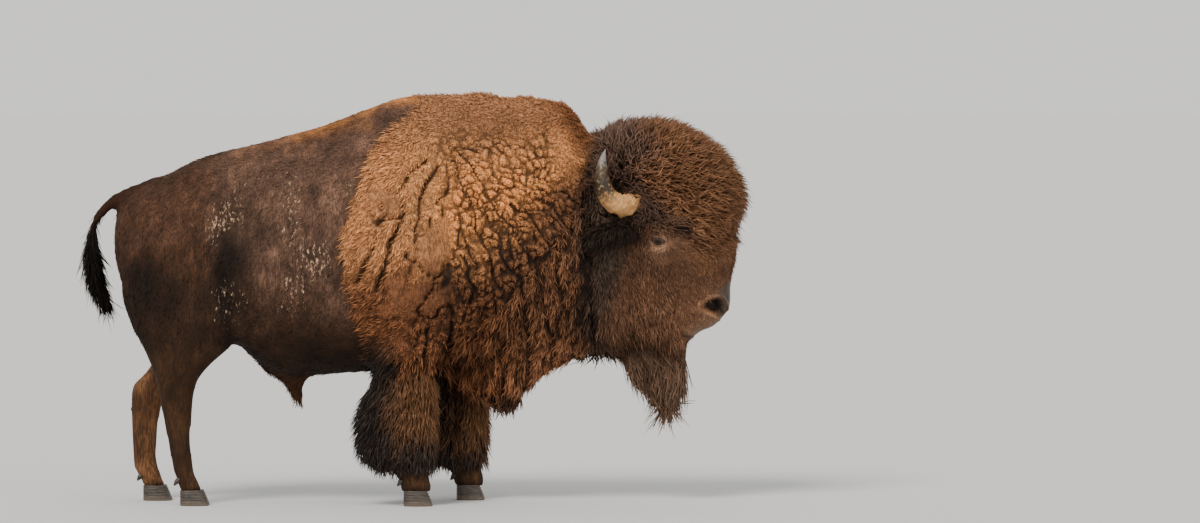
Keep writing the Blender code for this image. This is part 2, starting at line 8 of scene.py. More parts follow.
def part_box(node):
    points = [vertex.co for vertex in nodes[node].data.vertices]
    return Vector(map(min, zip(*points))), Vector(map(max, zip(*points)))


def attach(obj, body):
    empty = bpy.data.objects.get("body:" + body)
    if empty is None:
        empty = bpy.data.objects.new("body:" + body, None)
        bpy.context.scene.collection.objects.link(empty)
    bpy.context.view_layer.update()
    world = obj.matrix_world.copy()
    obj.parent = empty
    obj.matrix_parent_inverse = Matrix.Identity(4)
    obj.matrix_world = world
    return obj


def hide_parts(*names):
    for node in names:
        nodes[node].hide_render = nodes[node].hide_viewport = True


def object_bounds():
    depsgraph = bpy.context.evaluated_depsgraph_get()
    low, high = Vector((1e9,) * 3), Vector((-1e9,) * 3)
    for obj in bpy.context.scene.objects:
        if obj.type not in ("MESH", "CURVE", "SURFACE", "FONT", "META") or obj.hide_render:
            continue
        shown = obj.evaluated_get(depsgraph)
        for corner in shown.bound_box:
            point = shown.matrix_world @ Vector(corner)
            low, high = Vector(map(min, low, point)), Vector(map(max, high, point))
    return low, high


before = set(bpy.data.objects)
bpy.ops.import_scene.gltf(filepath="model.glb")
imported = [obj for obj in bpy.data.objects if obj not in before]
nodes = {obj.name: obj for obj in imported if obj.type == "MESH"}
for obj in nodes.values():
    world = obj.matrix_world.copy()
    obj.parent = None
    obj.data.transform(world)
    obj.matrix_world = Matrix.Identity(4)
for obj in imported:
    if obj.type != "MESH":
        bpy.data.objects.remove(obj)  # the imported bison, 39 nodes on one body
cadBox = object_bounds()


def smoothstep(low, high, value):
    # 0 before low, 1 past high, an s-curve between; low may be above high
    t = np.clip((value - low) / (high - low), 0.0, 1.0)
    return t * t * (3.0 - 2.0 * t)


def bell(value, centre, width):
    # 1 at the centre, falling off smoothly on both sides
    return np.exp(-(((value - centre) / width) ** 2))


def oval(dx, dz, halfLong, halfHigh):
    # a bell over an ellipse: 1 in the middle, falling off smoothly all round
    return np.exp(-((dx / halfLong) ** 2 + (dz / halfHigh) ** 2))


def unit(vectors):
    # each vector over its own length
    return vectors / np.maximum(np.linalg.norm(vectors, axis=-1, keepdims=True), 1e-9)


def mix(first, second, share):
    # first + share of the way to second, one share for each row
    share = np.asarray(share)
    if share.ndim == 1 and np.ndim(first) + np.ndim(second) > 1:
        share = share[:, None]
    return first + (second - first) * share


def flattened(vectors, normals):
    # the part of each vector that lies in the surface
    return vectors - normals * (vectors * normals).sum(1, keepdims=True)


def latticeValue(cells, seed):
    # whole-number lattice places -> repeatable values from 0 to 1
    c = cells.astype(np.int64).astype(np.uint32)
    h = c[..., 0] * np.uint32(73856093)
    h = h ^ (c[..., 1] * np.uint32(19349663))
    h = h ^ (c[..., 2] * np.uint32(83492791))
    h = h ^ np.uint32((seed * 40503 + 977) & 0xFFFFFFFF)
    h = (h ^ (h >> np.uint32(16))) * np.uint32(0x7FEB352D)
    h = (h ^ (h >> np.uint32(15))) * np.uint32(0x846CA68B)
    return (h ^ (h >> np.uint32(16))) / 4294967295.0


def noise(points, size, seed):
    # smooth value noise from -1 to 1, size metres from lump to lump
    place = points / size
    base = np.floor(place)
    f = place - base
    f = f * f * (3.0 - 2.0 * f)
    total = np.zeros(len(points))
    for corner in range(8):
        offset = np.array([corner & 1, corner >> 1 & 1, corner >> 2 & 1])
        weight = np.where(offset == 1, f, 1.0 - f).prod(1)
        total += weight * latticeValue(base + offset, seed)
    return total * 2.0 - 1.0


def noiseVectors(points, size, seed):
    # three noises as one vector for each point
    return np.stack([noise(points, size, seed + k) for k in range(3)], 1)


def cells(points, size, seed):
    # nearest of one scattered point in each lattice cell:
    # (distance to the cell's border, vector to its middle, its own value from 0 to 1), in metres
    size = np.asarray(size, float) * np.ones(3)
    place = points / size
    base = np.floor(place)
    first = np.full(len(points), 9.0)
    second = first.copy()
    middle = np.zeros_like(points)
    own = np.zeros(len(points))
    for step in np.ndindex(3, 3, 3):
        cell = base + (np.array(step) - 1)
        spot = cell + np.stack([latticeValue(cell, seed + k) for k in range(3)], 1)
        away = np.linalg.norm(spot - place, axis=1)
        closer = away < first
        second = np.where(closer, first, np.minimum(second, away))
        middle = np.where(closer[:, None], spot, middle)
        own = np.where(closer, latticeValue(cell, seed + 7), own)
        first = np.minimum(first, away)
    return (second - first) * size.min() / 2.0, (middle - place) * size, own


def addObject(name, data):
    # an object at the origin, in the scene
    obj = bpy.data.objects.new(name, data)
    bpy.context.scene.collection.objects.link(obj)
    return obj


def smoothPiece(name, data, material=None):
    # an object from a finished mesh, smooth shaded, with one material
    data.name = name
    data.polygons.foreach_set("use_smooth", np.ones(len(data.polygons), bool))
    data.materials.clear()
    if material is not None:
        data.materials.append(material)
    return addObject(name, data)


def setPoints(data, points):
    # moves a mesh's points to these places
    data.vertices.foreach_set("co", np.ascontiguousarray(points, np.float32).ravel())
    data.update()


def meshObject(name, points, corners, material=None):
    # an object from an array of points and an array of faces with equally many corners
    data = bpy.data.meshes.new(name)
    faceCount, sides = corners.shape
    data.vertices.add(len(points))
    data.vertices.foreach_set("co", np.ascontiguousarray(points, np.float32).ravel())
    data.loops.add(faceCount * sides)
    data.loops.foreach_set("vertex_index", np.ascontiguousarray(corners, np.int32).ravel())
    data.polygons.add(faceCount)
    data.polygons.foreach_set("loop_start", np.arange(0, faceCount * sides, sides, dtype=np.int32))
    data.update(calc_edges=True)
    data.validate()
    return smoothPiece(name, data, material)


def colourAttribute(obj, name, colours):
    # a colour kept at every point, for the materials to read
    layer = obj.data.color_attributes.new(name=name, type="FLOAT_COLOR", domain="POINT")
    rgba = np.ones((len(obj.data.vertices), 4), np.float32)
    rgba[:, :3] = colours
    layer.data.foreach_set("color", rgba.ravel())


def valueAttribute(obj, name, values):
    # a number kept at every point, for the materials to read
    layer = obj.data.attributes.new(name=name, type="FLOAT", domain="POINT")
    layer.data.foreach_set("value", np.ascontiguousarray(values, np.float32))


def readMesh(data):
    # (points, triangles, loops of those triangles) of a mesh
    data.calc_loop_triangles()
    points = np.empty(len(data.vertices) * 3, np.float32)
    data.vertices.foreach_get("co", points)
    triangles = np.empty(len(data.loop_triangles) * 3, np.int32)
    data.loop_triangles.foreach_get("vertices", triangles)
    loops = np.empty(len(data.loop_triangles) * 3, np.int32)
    data.loop_triangles.foreach_get("loops", loops)
    return points.reshape(-1, 3).astype(float), triangles.reshape(-1, 3), loops.reshape(-1, 3)


def welded(data):
    # the mesh of loose triangles as (points, triangles) with shared corners
    points, triangles, _ = readMesh(data)
    _, first, index = np.unique(np.round(points, 5), axis=0, return_index=True, return_inverse=True)
    return points[first], index.reshape(-1)[triangles]


def pointNormals(points, triangles):
    # each point's normal: the area-weighted mean of its triangles' normals
    a, b, c = (points[triangles[:, k]] for k in range(3))
    face = np.cross(b - a, c - a)
    total = np.zeros_like(points)
    for corner in range(3):
        for axis in range(3):
            total[:, axis] += np.bincount(triangles[:, corner], face[:, axis], len(points))
    return unit(total)


def neighbourMean(values, edges):
    # the mean of the neighbours along the edges, for each row of values
    flat = values.reshape(len(values), -1)
    total = np.empty_like(flat)
    for column in range(flat.shape[1]):
        own = flat[:, column]
        total[:, column] = np.bincount(edges[:, 0], own[edges[:, 1]], len(flat))
        total[:, column] += np.bincount(edges[:, 1], own[edges[:, 0]], len(flat))
    degree = np.maximum(np.bincount(edges.ravel(), minlength=len(flat)), 1)
    return (total / degree[:, None]).reshape(values.shape)


def relaxed(values, edges, passes):
    # each pass takes every point's value half way to its neighbours' mean
    for _ in range(passes):
        values = mix(values, neighbourMean(values, edges), 0.5)
    return values


def evenedOut(points, edges, pairs):
    # Taubin smoothing: a step in, then a slightly larger step out, so that the form doesn't shrink
    for _ in range(pairs):
        points = points + 0.50 * (neighbourMean(points, edges) - points)
        points = points - 0.52 * (neighbourMean(points, edges) - points)
    return points


def edgesOf(data):
    # the mesh's edges as rows of two point numbers
    edges = np.empty(len(data.edges) * 2, np.int32)
    data.edges.foreach_get("vertices", edges)
    return edges.reshape(-1, 2)


# one skin for all the flesh
skinShape = {
    "voxel": 0.0182,        # all lengths in metres
    "overlap": 0.0012,      # the parts are pushed out by this, so that they fuse across the cuts
    "firstSmoothing": 22,
    "lastSmoothing": 8,
    "deepestShare": 0.34,   # of the local thickness, where a part is thinner than its coat
    "thickest": 0.3,        # how far through the flesh that thickness is looked for
}

# the parts of the body, and the CAD nodes that each is made of
fleshGroups = {
    "head": ["head"],
    "neck": ["neck"],
    "fore": ["forequarters"],
    "barrel": ["barrel"],
    "hind": ["hindquarters"],
    "beard": ["beard"],
    "sheath": ["sheath"],
    "dock": ["tail_dock"],
    "tuft": ["tail_tuft"],
    "ear": ["ear_left", "ear_right"],
    "foreleg": [f"foreleg_{side}_{part}" for side in ("left", "right") for part in ("upper", "lower")],
    "hindleg": [f"hindleg_{side}_{part}" for side in ("left", "right") for part in ("upper", "lower")],
}
fleshNodes = [name for names in fleshGroups.values() for name in names]
groupOfNode = np.repeat(np.arange(len(fleshGroups)), [len(names) for names in fleshGroups.values()])


def joinedNodes(names, pushOut=0.0):
    # CAD nodes as one (points, triangles, number of the node that each triangle comes from)
    points, triangles, owner, count = [], [], [], 0
    for number, name in enumerate(names):
        own, faces = welded(nodes[name].data)
        points.append(own + pointNormals(own, faces) * pushOut)
        triangles.append(faces + count)
        owner.append(np.full(len(faces), number))
        count += len(own)
    return np.vstack(points), np.vstack(triangles), np.hstack(owner)


def remeshed(points, triangles, voxel):
    # the mesh read again as one closed surface of even squares
    shell = meshObject("shell", points, triangles)
    even = shell.modifiers.new("even", "REMESH")
    even.mode = "VOXEL"
    even.voxel_size = voxel
    data = bpy.data.meshes.new_from_object(shell.evaluated_get(bpy.context.evaluated_depsgraph_get()))
    bpy.data.objects.remove(shell)
    return data


def unwrapped(data):
    # lays the skin's own surface out flat, in pieces, on the map that the coat's roots use too
    obj = addObject("unwrap", data)
    data.uv_layers.new(name="OFBake")
    bpy.context.view_layer.objects.active = obj
    obj.select_set(True)
    bpy.ops.object.mode_set(mode="EDIT")
    bpy.ops.mesh.select_all(action="SELECT")
    bpy.ops.uv.smart_project(angle_limit=1.15, island_margin=0.002)
    bpy.ops.object.mode_set(mode="OBJECT")
    bpy.data.objects.remove(obj)


def refine(data, wanted):
    # splits each square in two both ways where wanted(points) is above a half
    mesh = bmesh.new()
    mesh.from_mesh(data)
    points = np.array([v.co for v in mesh.verts])
    keep = wanted(points) > 0.5
    chosen = [e for e in mesh.edges if keep[e.verts[0].index] and keep[e.verts[1].index]]
    bmesh.ops.subdivide_edges(mesh, edges=chosen, cuts=1, use_grid_fill=True)
    mesh.to_mesh(data)
    mesh.free()


def boxOf(node):
    # a CAD node's lowest and highest corners
    return [np.array(corner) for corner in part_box(node)]


def placeIn(node, u, w):
    # the point at the shares u and w of a CAD node's length and height, on the middle plane
    low, high = boxOf(node)
    return np.array([low[0] + u * (high[0] - low[0]), 0.0, low[2] + w * (high[2] - low[2])])


def shareOf(node, axis, value):
    # how far a coordinate lies along a CAD node's box: 0 at its low side, 1 at its high side
    low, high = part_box(node)
    return (value - low[axis]) / (high[axis] - low[axis])


crown = placeIn("head", 0.20, 0.856)
faceDown = unit(placeIn("head", 0.786, 0.242) - crown)            # along the face, crown to muzzle
faceOut = np.array([-faceDown[2], 0.0, faceDown[0]])              # square to it, out of the forehead
whorl = placeIn("horn_left", 0.40, 0.42)      # the woolly forehead's hair spreads from here
beardTip = placeIn("beard", 0.66, -0.14)
eyeMiddle = placeIn("eye_left", 0.5, 0.5)
eyeSize = (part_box("eye_left")[1][2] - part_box("eye_left")[0][2]) / 2
eyePlace = {"x": eyeMiddle[0], "z": eyeMiddle[2], "radius": 1.2 * eyeSize, "setBack": 0.0035}
nostrilMiddle = placeIn("head", 0.79, 0.225)
nostrilPlace = {"x": nostrilMiddle[0], "z": nostrilMiddle[2]}
foreLow, foreHigh = boxOf("forequarters")
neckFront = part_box("neck")[1][0]
ridgeFrom = placeIn("neck", 0.15, 0.943)      # the darker crest of the neck starts here
ribMiddle = placeIn("barrel", 0.556, 0.48)
tailTip = placeIn("tail_tuft", 0.93, -0.185)
tailTip[1] = (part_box("tail_tuft")[0][1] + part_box("tail_tuft")[1][1]) / 2
earLow, earHigh = boxOf("ear_left")
earMiddle = (earLow + earHigh) / 2
legLow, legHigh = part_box("foreleg_left_lower")[0][2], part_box("foreleg_left_upper")[1][2]
legMiddles = {side: placeIn(f"foreleg_{side}_upper", 0.55, 0)[0] for side in ("left", "right")}


def legShare(z):
    # height on a foreleg: 0 at the top of the hoof, 1 at the elbow
    return (z - legLow) / (legHigh - legLow)


# the cape's rear edge bulges back over the ribs and sweeps forward on top of the hump
capeShape = {"bulge": 0.135, "bulgeAt": 0.53, "bulgeTall": 0.24, "sweep": 0.19, "sweepFrom": 0.80}
# heights on the cape that climb from the elbow to the nape: where gold turns brown, where locks hang;
# shares of the forequarters' height, and the power that the climb follows
goldenShape = {"foot": 0.42, "climb": 0.42, "curve": 2.8}
shagShape = {"foot": 0.21, "climb": 0.55, "curve": 2.2}


def capeEdge(z):
    # the rear of the forequarters, less a bell at mid height, plus a smooth step near the top
    c = capeShape
    share = (z - foreLow[2]) / (foreHigh[2] - foreLow[2])
    back = c["bulge"] * bell(share, c["bulgeAt"], c["bulgeTall"])
    return foreLow[0] - back + c["sweep"] * smoothstep(c["sweepFrom"], 1.0, share)


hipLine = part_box("hindquarters")[1][0]      # where the barrel meets the hindquarters
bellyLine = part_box("barrel")[0][2]
flankHollow = placeIn("hindquarters", 0.90, 0.43)
thighPatch = placeIn("hindquarters", 0.30, 0.34)
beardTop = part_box("beard")[1][2]
foldFoot = np.array([hipLine, 0.0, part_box("hindleg_left_upper")[1][2]])      # before the stifle


def flankFold(p):
    # the fold of skin from the flank's hollow to the belly:
    # (distance in front of its line, how much each point lies beside it)
    run = foldFoot - flankHollow
    across = unit(np.array([-run[2], 0.0, run[0]]))
    share = (p - flankHollow) @ run / (run @ run)
    return (p - flankHollow) @ across, smoothstep(-0.25, 0.15, share) * smoothstep(1.25, 0.95, share)


def climbing(x, shape):
    # a height that starts at a share of the forequarters and climbs as a power of the way to the nape
    way = np.clip((x - foreLow[0]) / (neckFront - foreLow[0]), 0, 1)
    share = shape["foot"] + shape["climb"] * way ** shape["curve"]
    return foreLow[2] + share * (foreHigh[2] - foreLow[2])


mouthShape = {"drop": 0.131, "curl": 3.3, "back": 0.105}


def lipHeight(x):
    # where the lips meet: a parabola under the nostril
    fromCorner = x - nostrilPlace["x"] + mouthShape["back"]
    return nostrilPlace["z"] - mouthShape["drop"] + mouthShape["curl"] * fromCorner ** 2


def groupShares(points, edges, tree, group):
    # for each flesh part, how much each point belongs to it, smoothed across the borders
    owner = np.array([group[tree.find_nearest(p)[2]] for p in points.tolist()])
    shares = (owner[:, None] == np.arange(len(fleshGroups))).astype(float)
    shares = relaxed(shares, edges, 5)
    return dict(zip(fleshGroups, shares.T))


# borders of the head's coats, in metres down the face from the crown and out from the line of the face:
# the bonnet's lower edge, its front end, where the muzzle's short hair starts, and the bare skin at the eye
headBorders = {
    "bonnetAlong": (0.10, 0.22, 0.34, 0.44, 0.56), "bonnetOut": (-0.60, -0.22, -0.03, 0.03, 0.07),
    "bonnetEnd": (0.575, 0.50), "muzzle": (0.700, 0.755), "muzzleUnder": (-0.20, -0.15),
    "eye": (0.055, 0.058), "eyeBelow": 0.026,
}


def coatRegions(p, n, part):
    # how much of each kind of coat each point has: a dictionary of values from 0 to 1
    x, _, z = p.T
    along = (p - crown) @ faceDown
    out = (p - crown) @ faceOut
    ragged = 0.018 * noise(p, 0.05, 3) + 0.010 * noise(p, 0.02, 4)
    trunk = np.clip(part["neck"] + part["fore"] + part["barrel"] + part["hind"], 0, 1)
    fromEdge = x - capeEdge(z) + ragged
    cape = trunk * smoothstep(-0.012, 0.012, fromEdge)
    hang = climbing(x, shagShape) - z + 2 * ragged
    shag = cape * smoothstep(-0.05, 0.07, hang)
    head = np.clip(part["head"], 0, 1)
    b = headBorders
    atEye = oval(x - eyePlace["x"], z - eyePlace["z"] + b["eyeBelow"], *b["eye"]) * head
    atEye = atEye * smoothstep(0.2, 0.6, np.abs(n[:, 1]))
    lowOut = np.interp(along, b["bonnetAlong"], b["bonnetOut"])
    bonnet = head * smoothstep(-0.03, 0.05, out - lowOut + ragged)
    bonnet = bonnet * smoothstep(*b["bonnetEnd"], along + ragged) * (1 - smoothstep(0.3, 0.8, atEye))
    muzzle = head * smoothstep(*b["muzzle"], along + 0.6 * ragged + 0.35 * np.clip(out, -0.1, 0.1))
    muzzle = muzzle * smoothstep(*b["muzzleUnder"], out)
    chin = muzzle * smoothstep(-0.004, -0.024, z - lipHeight(x))
    muzzle = muzzle - chin
    cheek = head * (1 - bonnet) * (1 - muzzle) * smoothstep(0.02, -0.14, out + 0.35 * (along - 0.35))
    cheek = np.maximum(cheek, chin)
    cheek = cheek * (1 - atEye)
    lowJaw = np.clip(cheek, 0, 1) * smoothstep(beardTop + 0.20, beardTop - 0.02, z + 3 * ragged)
    cheek = cheek - lowJaw
    face = np.clip(head - bonnet - muzzle - cheek - lowJaw, 0, 1)
    shaggy = smoothstep(0.12, 0.30, legShare(z))
    return {
        "body": np.clip(trunk - cape, 0, 1),
        "cape": np.clip(cape - shag, 0, 1),
        "shag": shag,
        "bonnet": bonnet,
        "face": face,
        "muzzle": muzzle,
        "cheek": cheek,
        "eye": atEye,
        "beard": np.clip(part["beard"] + lowJaw, 0, 1),
        "ear": part["ear"],
        "dock": part["dock"],
        "tuft": part["tuft"],
        "sheath": part["sheath"],
        "chaps": part["foreleg"] * shaggy,
        "shank": part["foreleg"] * (1 - shaggy) + part["hindleg"],
    }


# each kind of coat, in millimetres and degrees: how far the skin lies under the tips, the hair's
# length and width, how steeply it leaves the skin, how far it bends back, its curl and its clumps
coatNumbers = ("depth", "length", "width", "lift", "bend", "curl", "clump")
coatKinds = {
    "body": (5, 22, 3.4, 13, 0.04, 0.04, 0.20),
    "cape": (22, 20, 4.8, 46, 0.18, 0.14, 0.48),
    "shag": (34, 60, 6.0, 20, 0.06, 0.14, 0.26),
    "bonnet": (50, 94, 5.6, 46, 0.14, 0.18, 0.50),
    "face": (11, 24, 3.4, 26, 0.08, 0.08, 0.30),
    "muzzle": (2, 5, 1.6, 14, 0.04, 0.02, 0.0),
    "cheek": (17, 44, 4.6, 22, 0.05, 0.10, 0.45),
    "eye": (7, 10, 2.0, 14, 0.05, 0.04, 0.1),
    "beard": (38, 125, 5.8, 12, 0.03, 0.05, 0.55),
    "ear": (9, 58, 4.4, 24, 0.06, 0.12, 0.5),
    "dock": (4, 16, 2.8, 12, 0.04, 0.03, 0.1),
    "tuft": (20, 120, 4.2, 10, 0.02, 0.06, 0.4),
    "sheath": (9, 46, 4.0, 14, 0.04, 0.06, 0.4),
    "chaps": (34, 98, 6.0, 27, 0.05, 0.10, 0.55),
    "shank": (3, 11, 2.4, 12, 0.04, 0.03, 0.1),
}


def blended(regions, what):
    # one of the kinds' numbers at every point, mixed by how much of each kind is there
    column = coatNumbers.index(what)
    weight = sum(regions.values()) + 1e-6
    return sum(regions[kind] * coatKinds[kind][column] for kind in coatKinds) / weight


def lieOfCoat(p, n, r):
    # the way the hair points, in the surface: each kind's own direction, mixed and laid flat
    x, y, z = p.T
    side = np.sign(y)

    def along(dx, dy, dz):
        # one direction at every point; each part may differ from point to point
        return unit(np.stack([dx + 0 * x, dy + 0 * x, dz + 0 * x], 1))

    steep = smoothstep(0.90, 0.35, n[:, 2]) * smoothstep(-0.75, -0.2, n[:, 2])
    fromEdge = x - capeEdge(z)
    rear = smoothstep(0.30, 0.02, fromEdge)
    haunch = smoothstep(hipLine, hipLine - 0.30, x)
    onDock = shareOf("tail_dock", 2, z)
    radial = p - whorl
    radial[:, 1] = 0.0
    front = smoothstep(0.45, 0.9, n[:, 0])[:, None]
    level = smoothstep(eyePlace["z"] - 0.13, eyePlace["z"] - 0.01, z)[:, None]
    lie = {
        "body": along(-1.0 + 0.55 * steep + 0.2 * haunch * steep, 0.0, -(0.55 + 0.6 * haunch) * steep),
        "cape": along(-1.0 + (0.75 - 0.65 * rear) * steep, 0.0, -(1.0 - 0.45 * rear) * steep),
        "shag": along(-0.10, 0.0, -1.0),
        "bonnet": unit(unit(radial) * (1 - 0.75 * front) + np.array([0.05, 0.0, -0.9]) * front),
        "face": unit(np.array([0.9, 0.0, -0.10]) * level + np.array([0.35, 0.0, -0.9]) * (1 - level)),
        "muzzle": along(0.5, 0.0, -0.8),
        "cheek": along(0.16, 0.0, -1.0),
        "eye": along(-0.3, 0.0, -0.7),
        "beard": unit(beardTip - p),
        "ear": along(-0.16, side * 0.10, -0.55),
        "dock": along(-smoothstep(-0.18, 0.64, onDock), 0.0, -1.0 + 0.75 * smoothstep(-0.18, 0.74, onDock)),
        "tuft": unit(tailTip - p),
        "sheath": along(-0.05, 0.0, -1.0),
        "chaps": along(-0.22, 0.0, -1.0),
        "shank": along(-0.05, 0.0, -1.0),
    }
    total = sum(r[kind][:, None] * lie[kind] for kind in lie)
    return unit(flattened(unit(total), n))


print("regions and kinds of coat named")


def shade(red, green, blue):
    # a colour as the eye names it, 0 to 255, made linear
    c = np.array([red, green, blue]) / 255.0
    return np.where(c <= 0.04045, c / 12.92, ((c + 0.055) / 1.055) ** 2.4)


# flat flaps of matted wool behind the shoulder, in shares of the forequarters
mats = {
    "size": (0.17, 0.17, 0.20), "kept": 0.42, "lip": 0.010,
    "rear": -0.10, "front": 0.46, "bottom": 0.30, "top": 0.74,
}


def mattedShare(p):
    # (how matted, how near the lip under a flap, where painted shade goes): big cells, some flat, lipped
    # below their middles
    m = mats
    wander = noiseVectors(p, 0.07, 81) * 0.050
    edge, middle, own = cells(p + wander, m["size"], 85)
    x, z = shareOf("forequarters", 0, p[:, 0]), shareOf("forequarters", 2, p[:, 2])
    where = smoothstep(m["rear"], m["rear"] + 0.12, x) * smoothstep(m["front"] + 0.10, m["front"] - 0.05, x)
    where = where * smoothstep(m["bottom"] - 0.06, m["bottom"] + 0.06, z)
    where = where * smoothstep(m["top"] + 0.06, m["top"] - 0.06, z)
    flat = where * (own > m["kept"]) * smoothstep(0.0, 2 * m["lip"], edge)
    # painted shade: a dark band along the lower edge of each flat flap, which also sinks the skin
    lip = where * (own > m["kept"]) * smoothstep(m["lip"], 0.3 * m["lip"], edge) * (middle[:, 2] > 0)
    return flat, lip


coatColours = {
    "goldRear": shade(204, 142, 94),
    "gold": shade(222, 156, 101),
    "goldTop": shade(164, 114, 78),
    "maneRidge": shade(124, 80, 52),
    "matted": shade(138, 92, 62),
    "neckBrown": shade(129, 87, 60),
    "neckDark": shade(64, 49, 40),
    "shoulderLow": shade(125, 80, 52),
    "chapsBrown": shade(104, 73, 50),
    "chapsDark": shade(47, 40, 36),
    "flank": shade(84, 61, 48),
    "rump": shade(73, 48, 33),
    "thigh": shade(47, 30, 18),
    "belly": shade(45, 29, 18),
    "loin": shade(153, 98, 52),
    "forehead": shade(123, 86, 60),
    "foreheadTop": shade(90, 69, 58),
    "behindHorn": shade(88, 72, 61),
    "cheek": shade(104, 74, 55),
    "beard": shade(102, 79, 63),
    "eyeSkin": shade(158, 119, 94),
    "lidRim": shade(156, 120, 93),
    "lidEdge": shade(16, 11, 9),
    "eyeCorner": shade(24, 17, 13),
    "ear": shade(42, 33, 26),
    "muzzle": shade(120, 88, 65),
    "nose": shade(62, 56, 52),
    "nostrilRim": shade(160, 116, 80),
    # painted shade inside the nostrils and along the line where the lips meet
    "inside": shade(14, 10, 9),      # of nostrils and mouth
    "mud": shade(198, 166, 136),
    "dock": shade(46, 24, 12),
    "tuft": shade(20, 14, 9),
    "leg": shade(54, 35, 20),
    "legInnerLit": shade(98, 66, 42),
    "sheath": shade(70, 45, 28),
}


def plain(paint, p):
    # one of the coat's colours at every point
    return np.tile(coatColours[paint], (len(p), 1))


def lay(colour, other, share):
    # another colour over the first, as much as its share says
    return mix(colour, other, np.clip(share, 0, 1))


def bodyColour(p, n, r, blur):
    # the short coat: rump and thigh behind the hip, belly and legs below, loin on top, painted shade in the
    # flank fold's groove, in the flank's hollow, on the thigh and on the undersides, and painted light on
    # the inner hind legs
    x, y, z = p.T
    c = coatColours
    colour = plain("flank", p)
    colour = lay(colour, c["rump"], smoothstep(hipLine - 0.04, hipLine - 0.21, x + blur))
    colour = lay(colour, c["belly"], smoothstep(bellyLine + 0.47, bellyLine + 0.15, z + 2 * blur))
    inThigh = smoothstep(hipLine + 0.12, hipLine - 0.11, x + blur)
    colour = lay(colour, c["thigh"], inThigh * smoothstep(bellyLine + 0.57, bellyLine + 0.31, z + 2 * blur))
    # painted shade: two nearly black patches, in the flank's hollow and on the thigh
    hollow = oval(x - flankHollow[0], z - flankHollow[2], 0.085, 0.22)
    patch = oval(x - thighPatch[0], z - thighPatch[2], 0.15, 0.16)
    colour = lay(colour, c["belly"] * 0.26, np.maximum(hollow, patch) * (1 + 3 * blur))
    ridge = smoothstep(0.68, 0.94, n[:, 2] + 2.6 * blur)
    ridge = ridge * smoothstep(hipLine - 0.10, hipLine + 0.45, x + 2 * blur)
    colour = lay(colour, c["loin"], 0.9 * ridge * r["body"])
    colour = lay(colour, c["leg"], smoothstep(bellyLine + 0.20, bellyLine + 0.05, z))
    # painted light: the inner sides of the hind legs are painted lighter, so the far hind leg, which the
    # lamps leave in shade, reads light
    inner = smoothstep(0.1, -0.5, n[:, 1] * np.sign(y)) * r["shank"] * (x < hipLine)
    colour = lay(colour, c["legInnerLit"], inner)
    # painted shade: darker where the surface faces down, low on the body
    underside = smoothstep(-0.05, -0.60, n[:, 2] + 2 * blur)
    underside = underside * smoothstep(bellyLine + 0.30, bellyLine + 0.10, z)
    colour = lay(colour, c["belly"] * 0.7, underside * r["body"])
    # painted shade in the groove in front of the flank's fold of skin
    folded, foldAlong = flankFold(p)
    colour = lay(colour, c["belly"] * 0.2, 0.75 * foldAlong * bell(folded, -0.045, 0.030))
    # lighter and darker places of four sizes, the smaller ones drawn out down the hair
    uneven = 0.50 * noise(p, 0.11, 25)
    uneven += 0.42 * noise(p * np.array([1, 1, 0.35]), 0.024, 26)
    uneven += 0.25 * noise(p, 0.05, 28)
    uneven += 0.26 * noise(p * np.array([1, 1, 0.5]), 0.013, 29)
    return colour * np.exp(uneven)[:, None]


def woolColour(p, blur, behindLeg):
    # gold wool above brown: a band over the shoulder, a dark brisket, and a dark crest on the neck
    x, _, z = p.T
    c = coatColours
    golden = smoothstep(-0.05, 0.22, z - climbing(x, goldenShape) + 1.6 * blur)
    foreX, foreZ = shareOf("forequarters", 0, x), shareOf("forequarters", 2, z + blur)
    wool = lay(plain("gold", p), c["goldRear"], smoothstep(0.46, 0.02, foreX))
    wool = lay(wool, c["goldTop"], smoothstep(0.77, 0.95, foreZ))
    wool = lay(wool, c["matted"], 0.75 * mattedShare(p)[0])
    brown = lay(plain("shoulderLow", p), c["neckBrown"], smoothstep(0.68, 0.98, foreX))
    brown = lay(brown, c["neckDark"], smoothstep(0.51, 1.0, shareOf("neck", 0, x + 0.5 * blur)))
    brown = lay(brown, c["chapsDark"], smoothstep(1.35, 1.05, legShare(z + blur)) * behindLeg)
    # the gold is warmest over the shoulder; the brown is darker below that, and lighter at the brisket as
    # painted light on the low front, which the lamps leave in shade
    wool = wool * (1 + np.outer(bell(foreZ, 0.66, 0.12) * smoothstep(0.30, 0.50, foreX), (0.34, 0.20, 0.0)))
    brown = brown * (1 - 0.26 * bell(foreZ, 0.37, 0.13) * smoothstep(0.25, 0.50, foreX))[:, None]
    brown = brown * (1 + 0.55 * bell(foreZ, 0.19, 0.05) * smoothstep(0.60, 0.80, foreX))[:, None]
    brown = lay(brown, c["neckDark"], 0.75 * smoothstep(0.16, 0.09, foreZ))
    wool = lay(brown, wool, golden)
    crest = smoothstep(0.0, 0.12, x - ridgeFrom[0] + 0.45 * (z - ridgeFrom[2]) + blur)
    return lay(wool, c["maneRidge"], crest * smoothstep(0.775, 0.897, shareOf("neck", 2, z)))


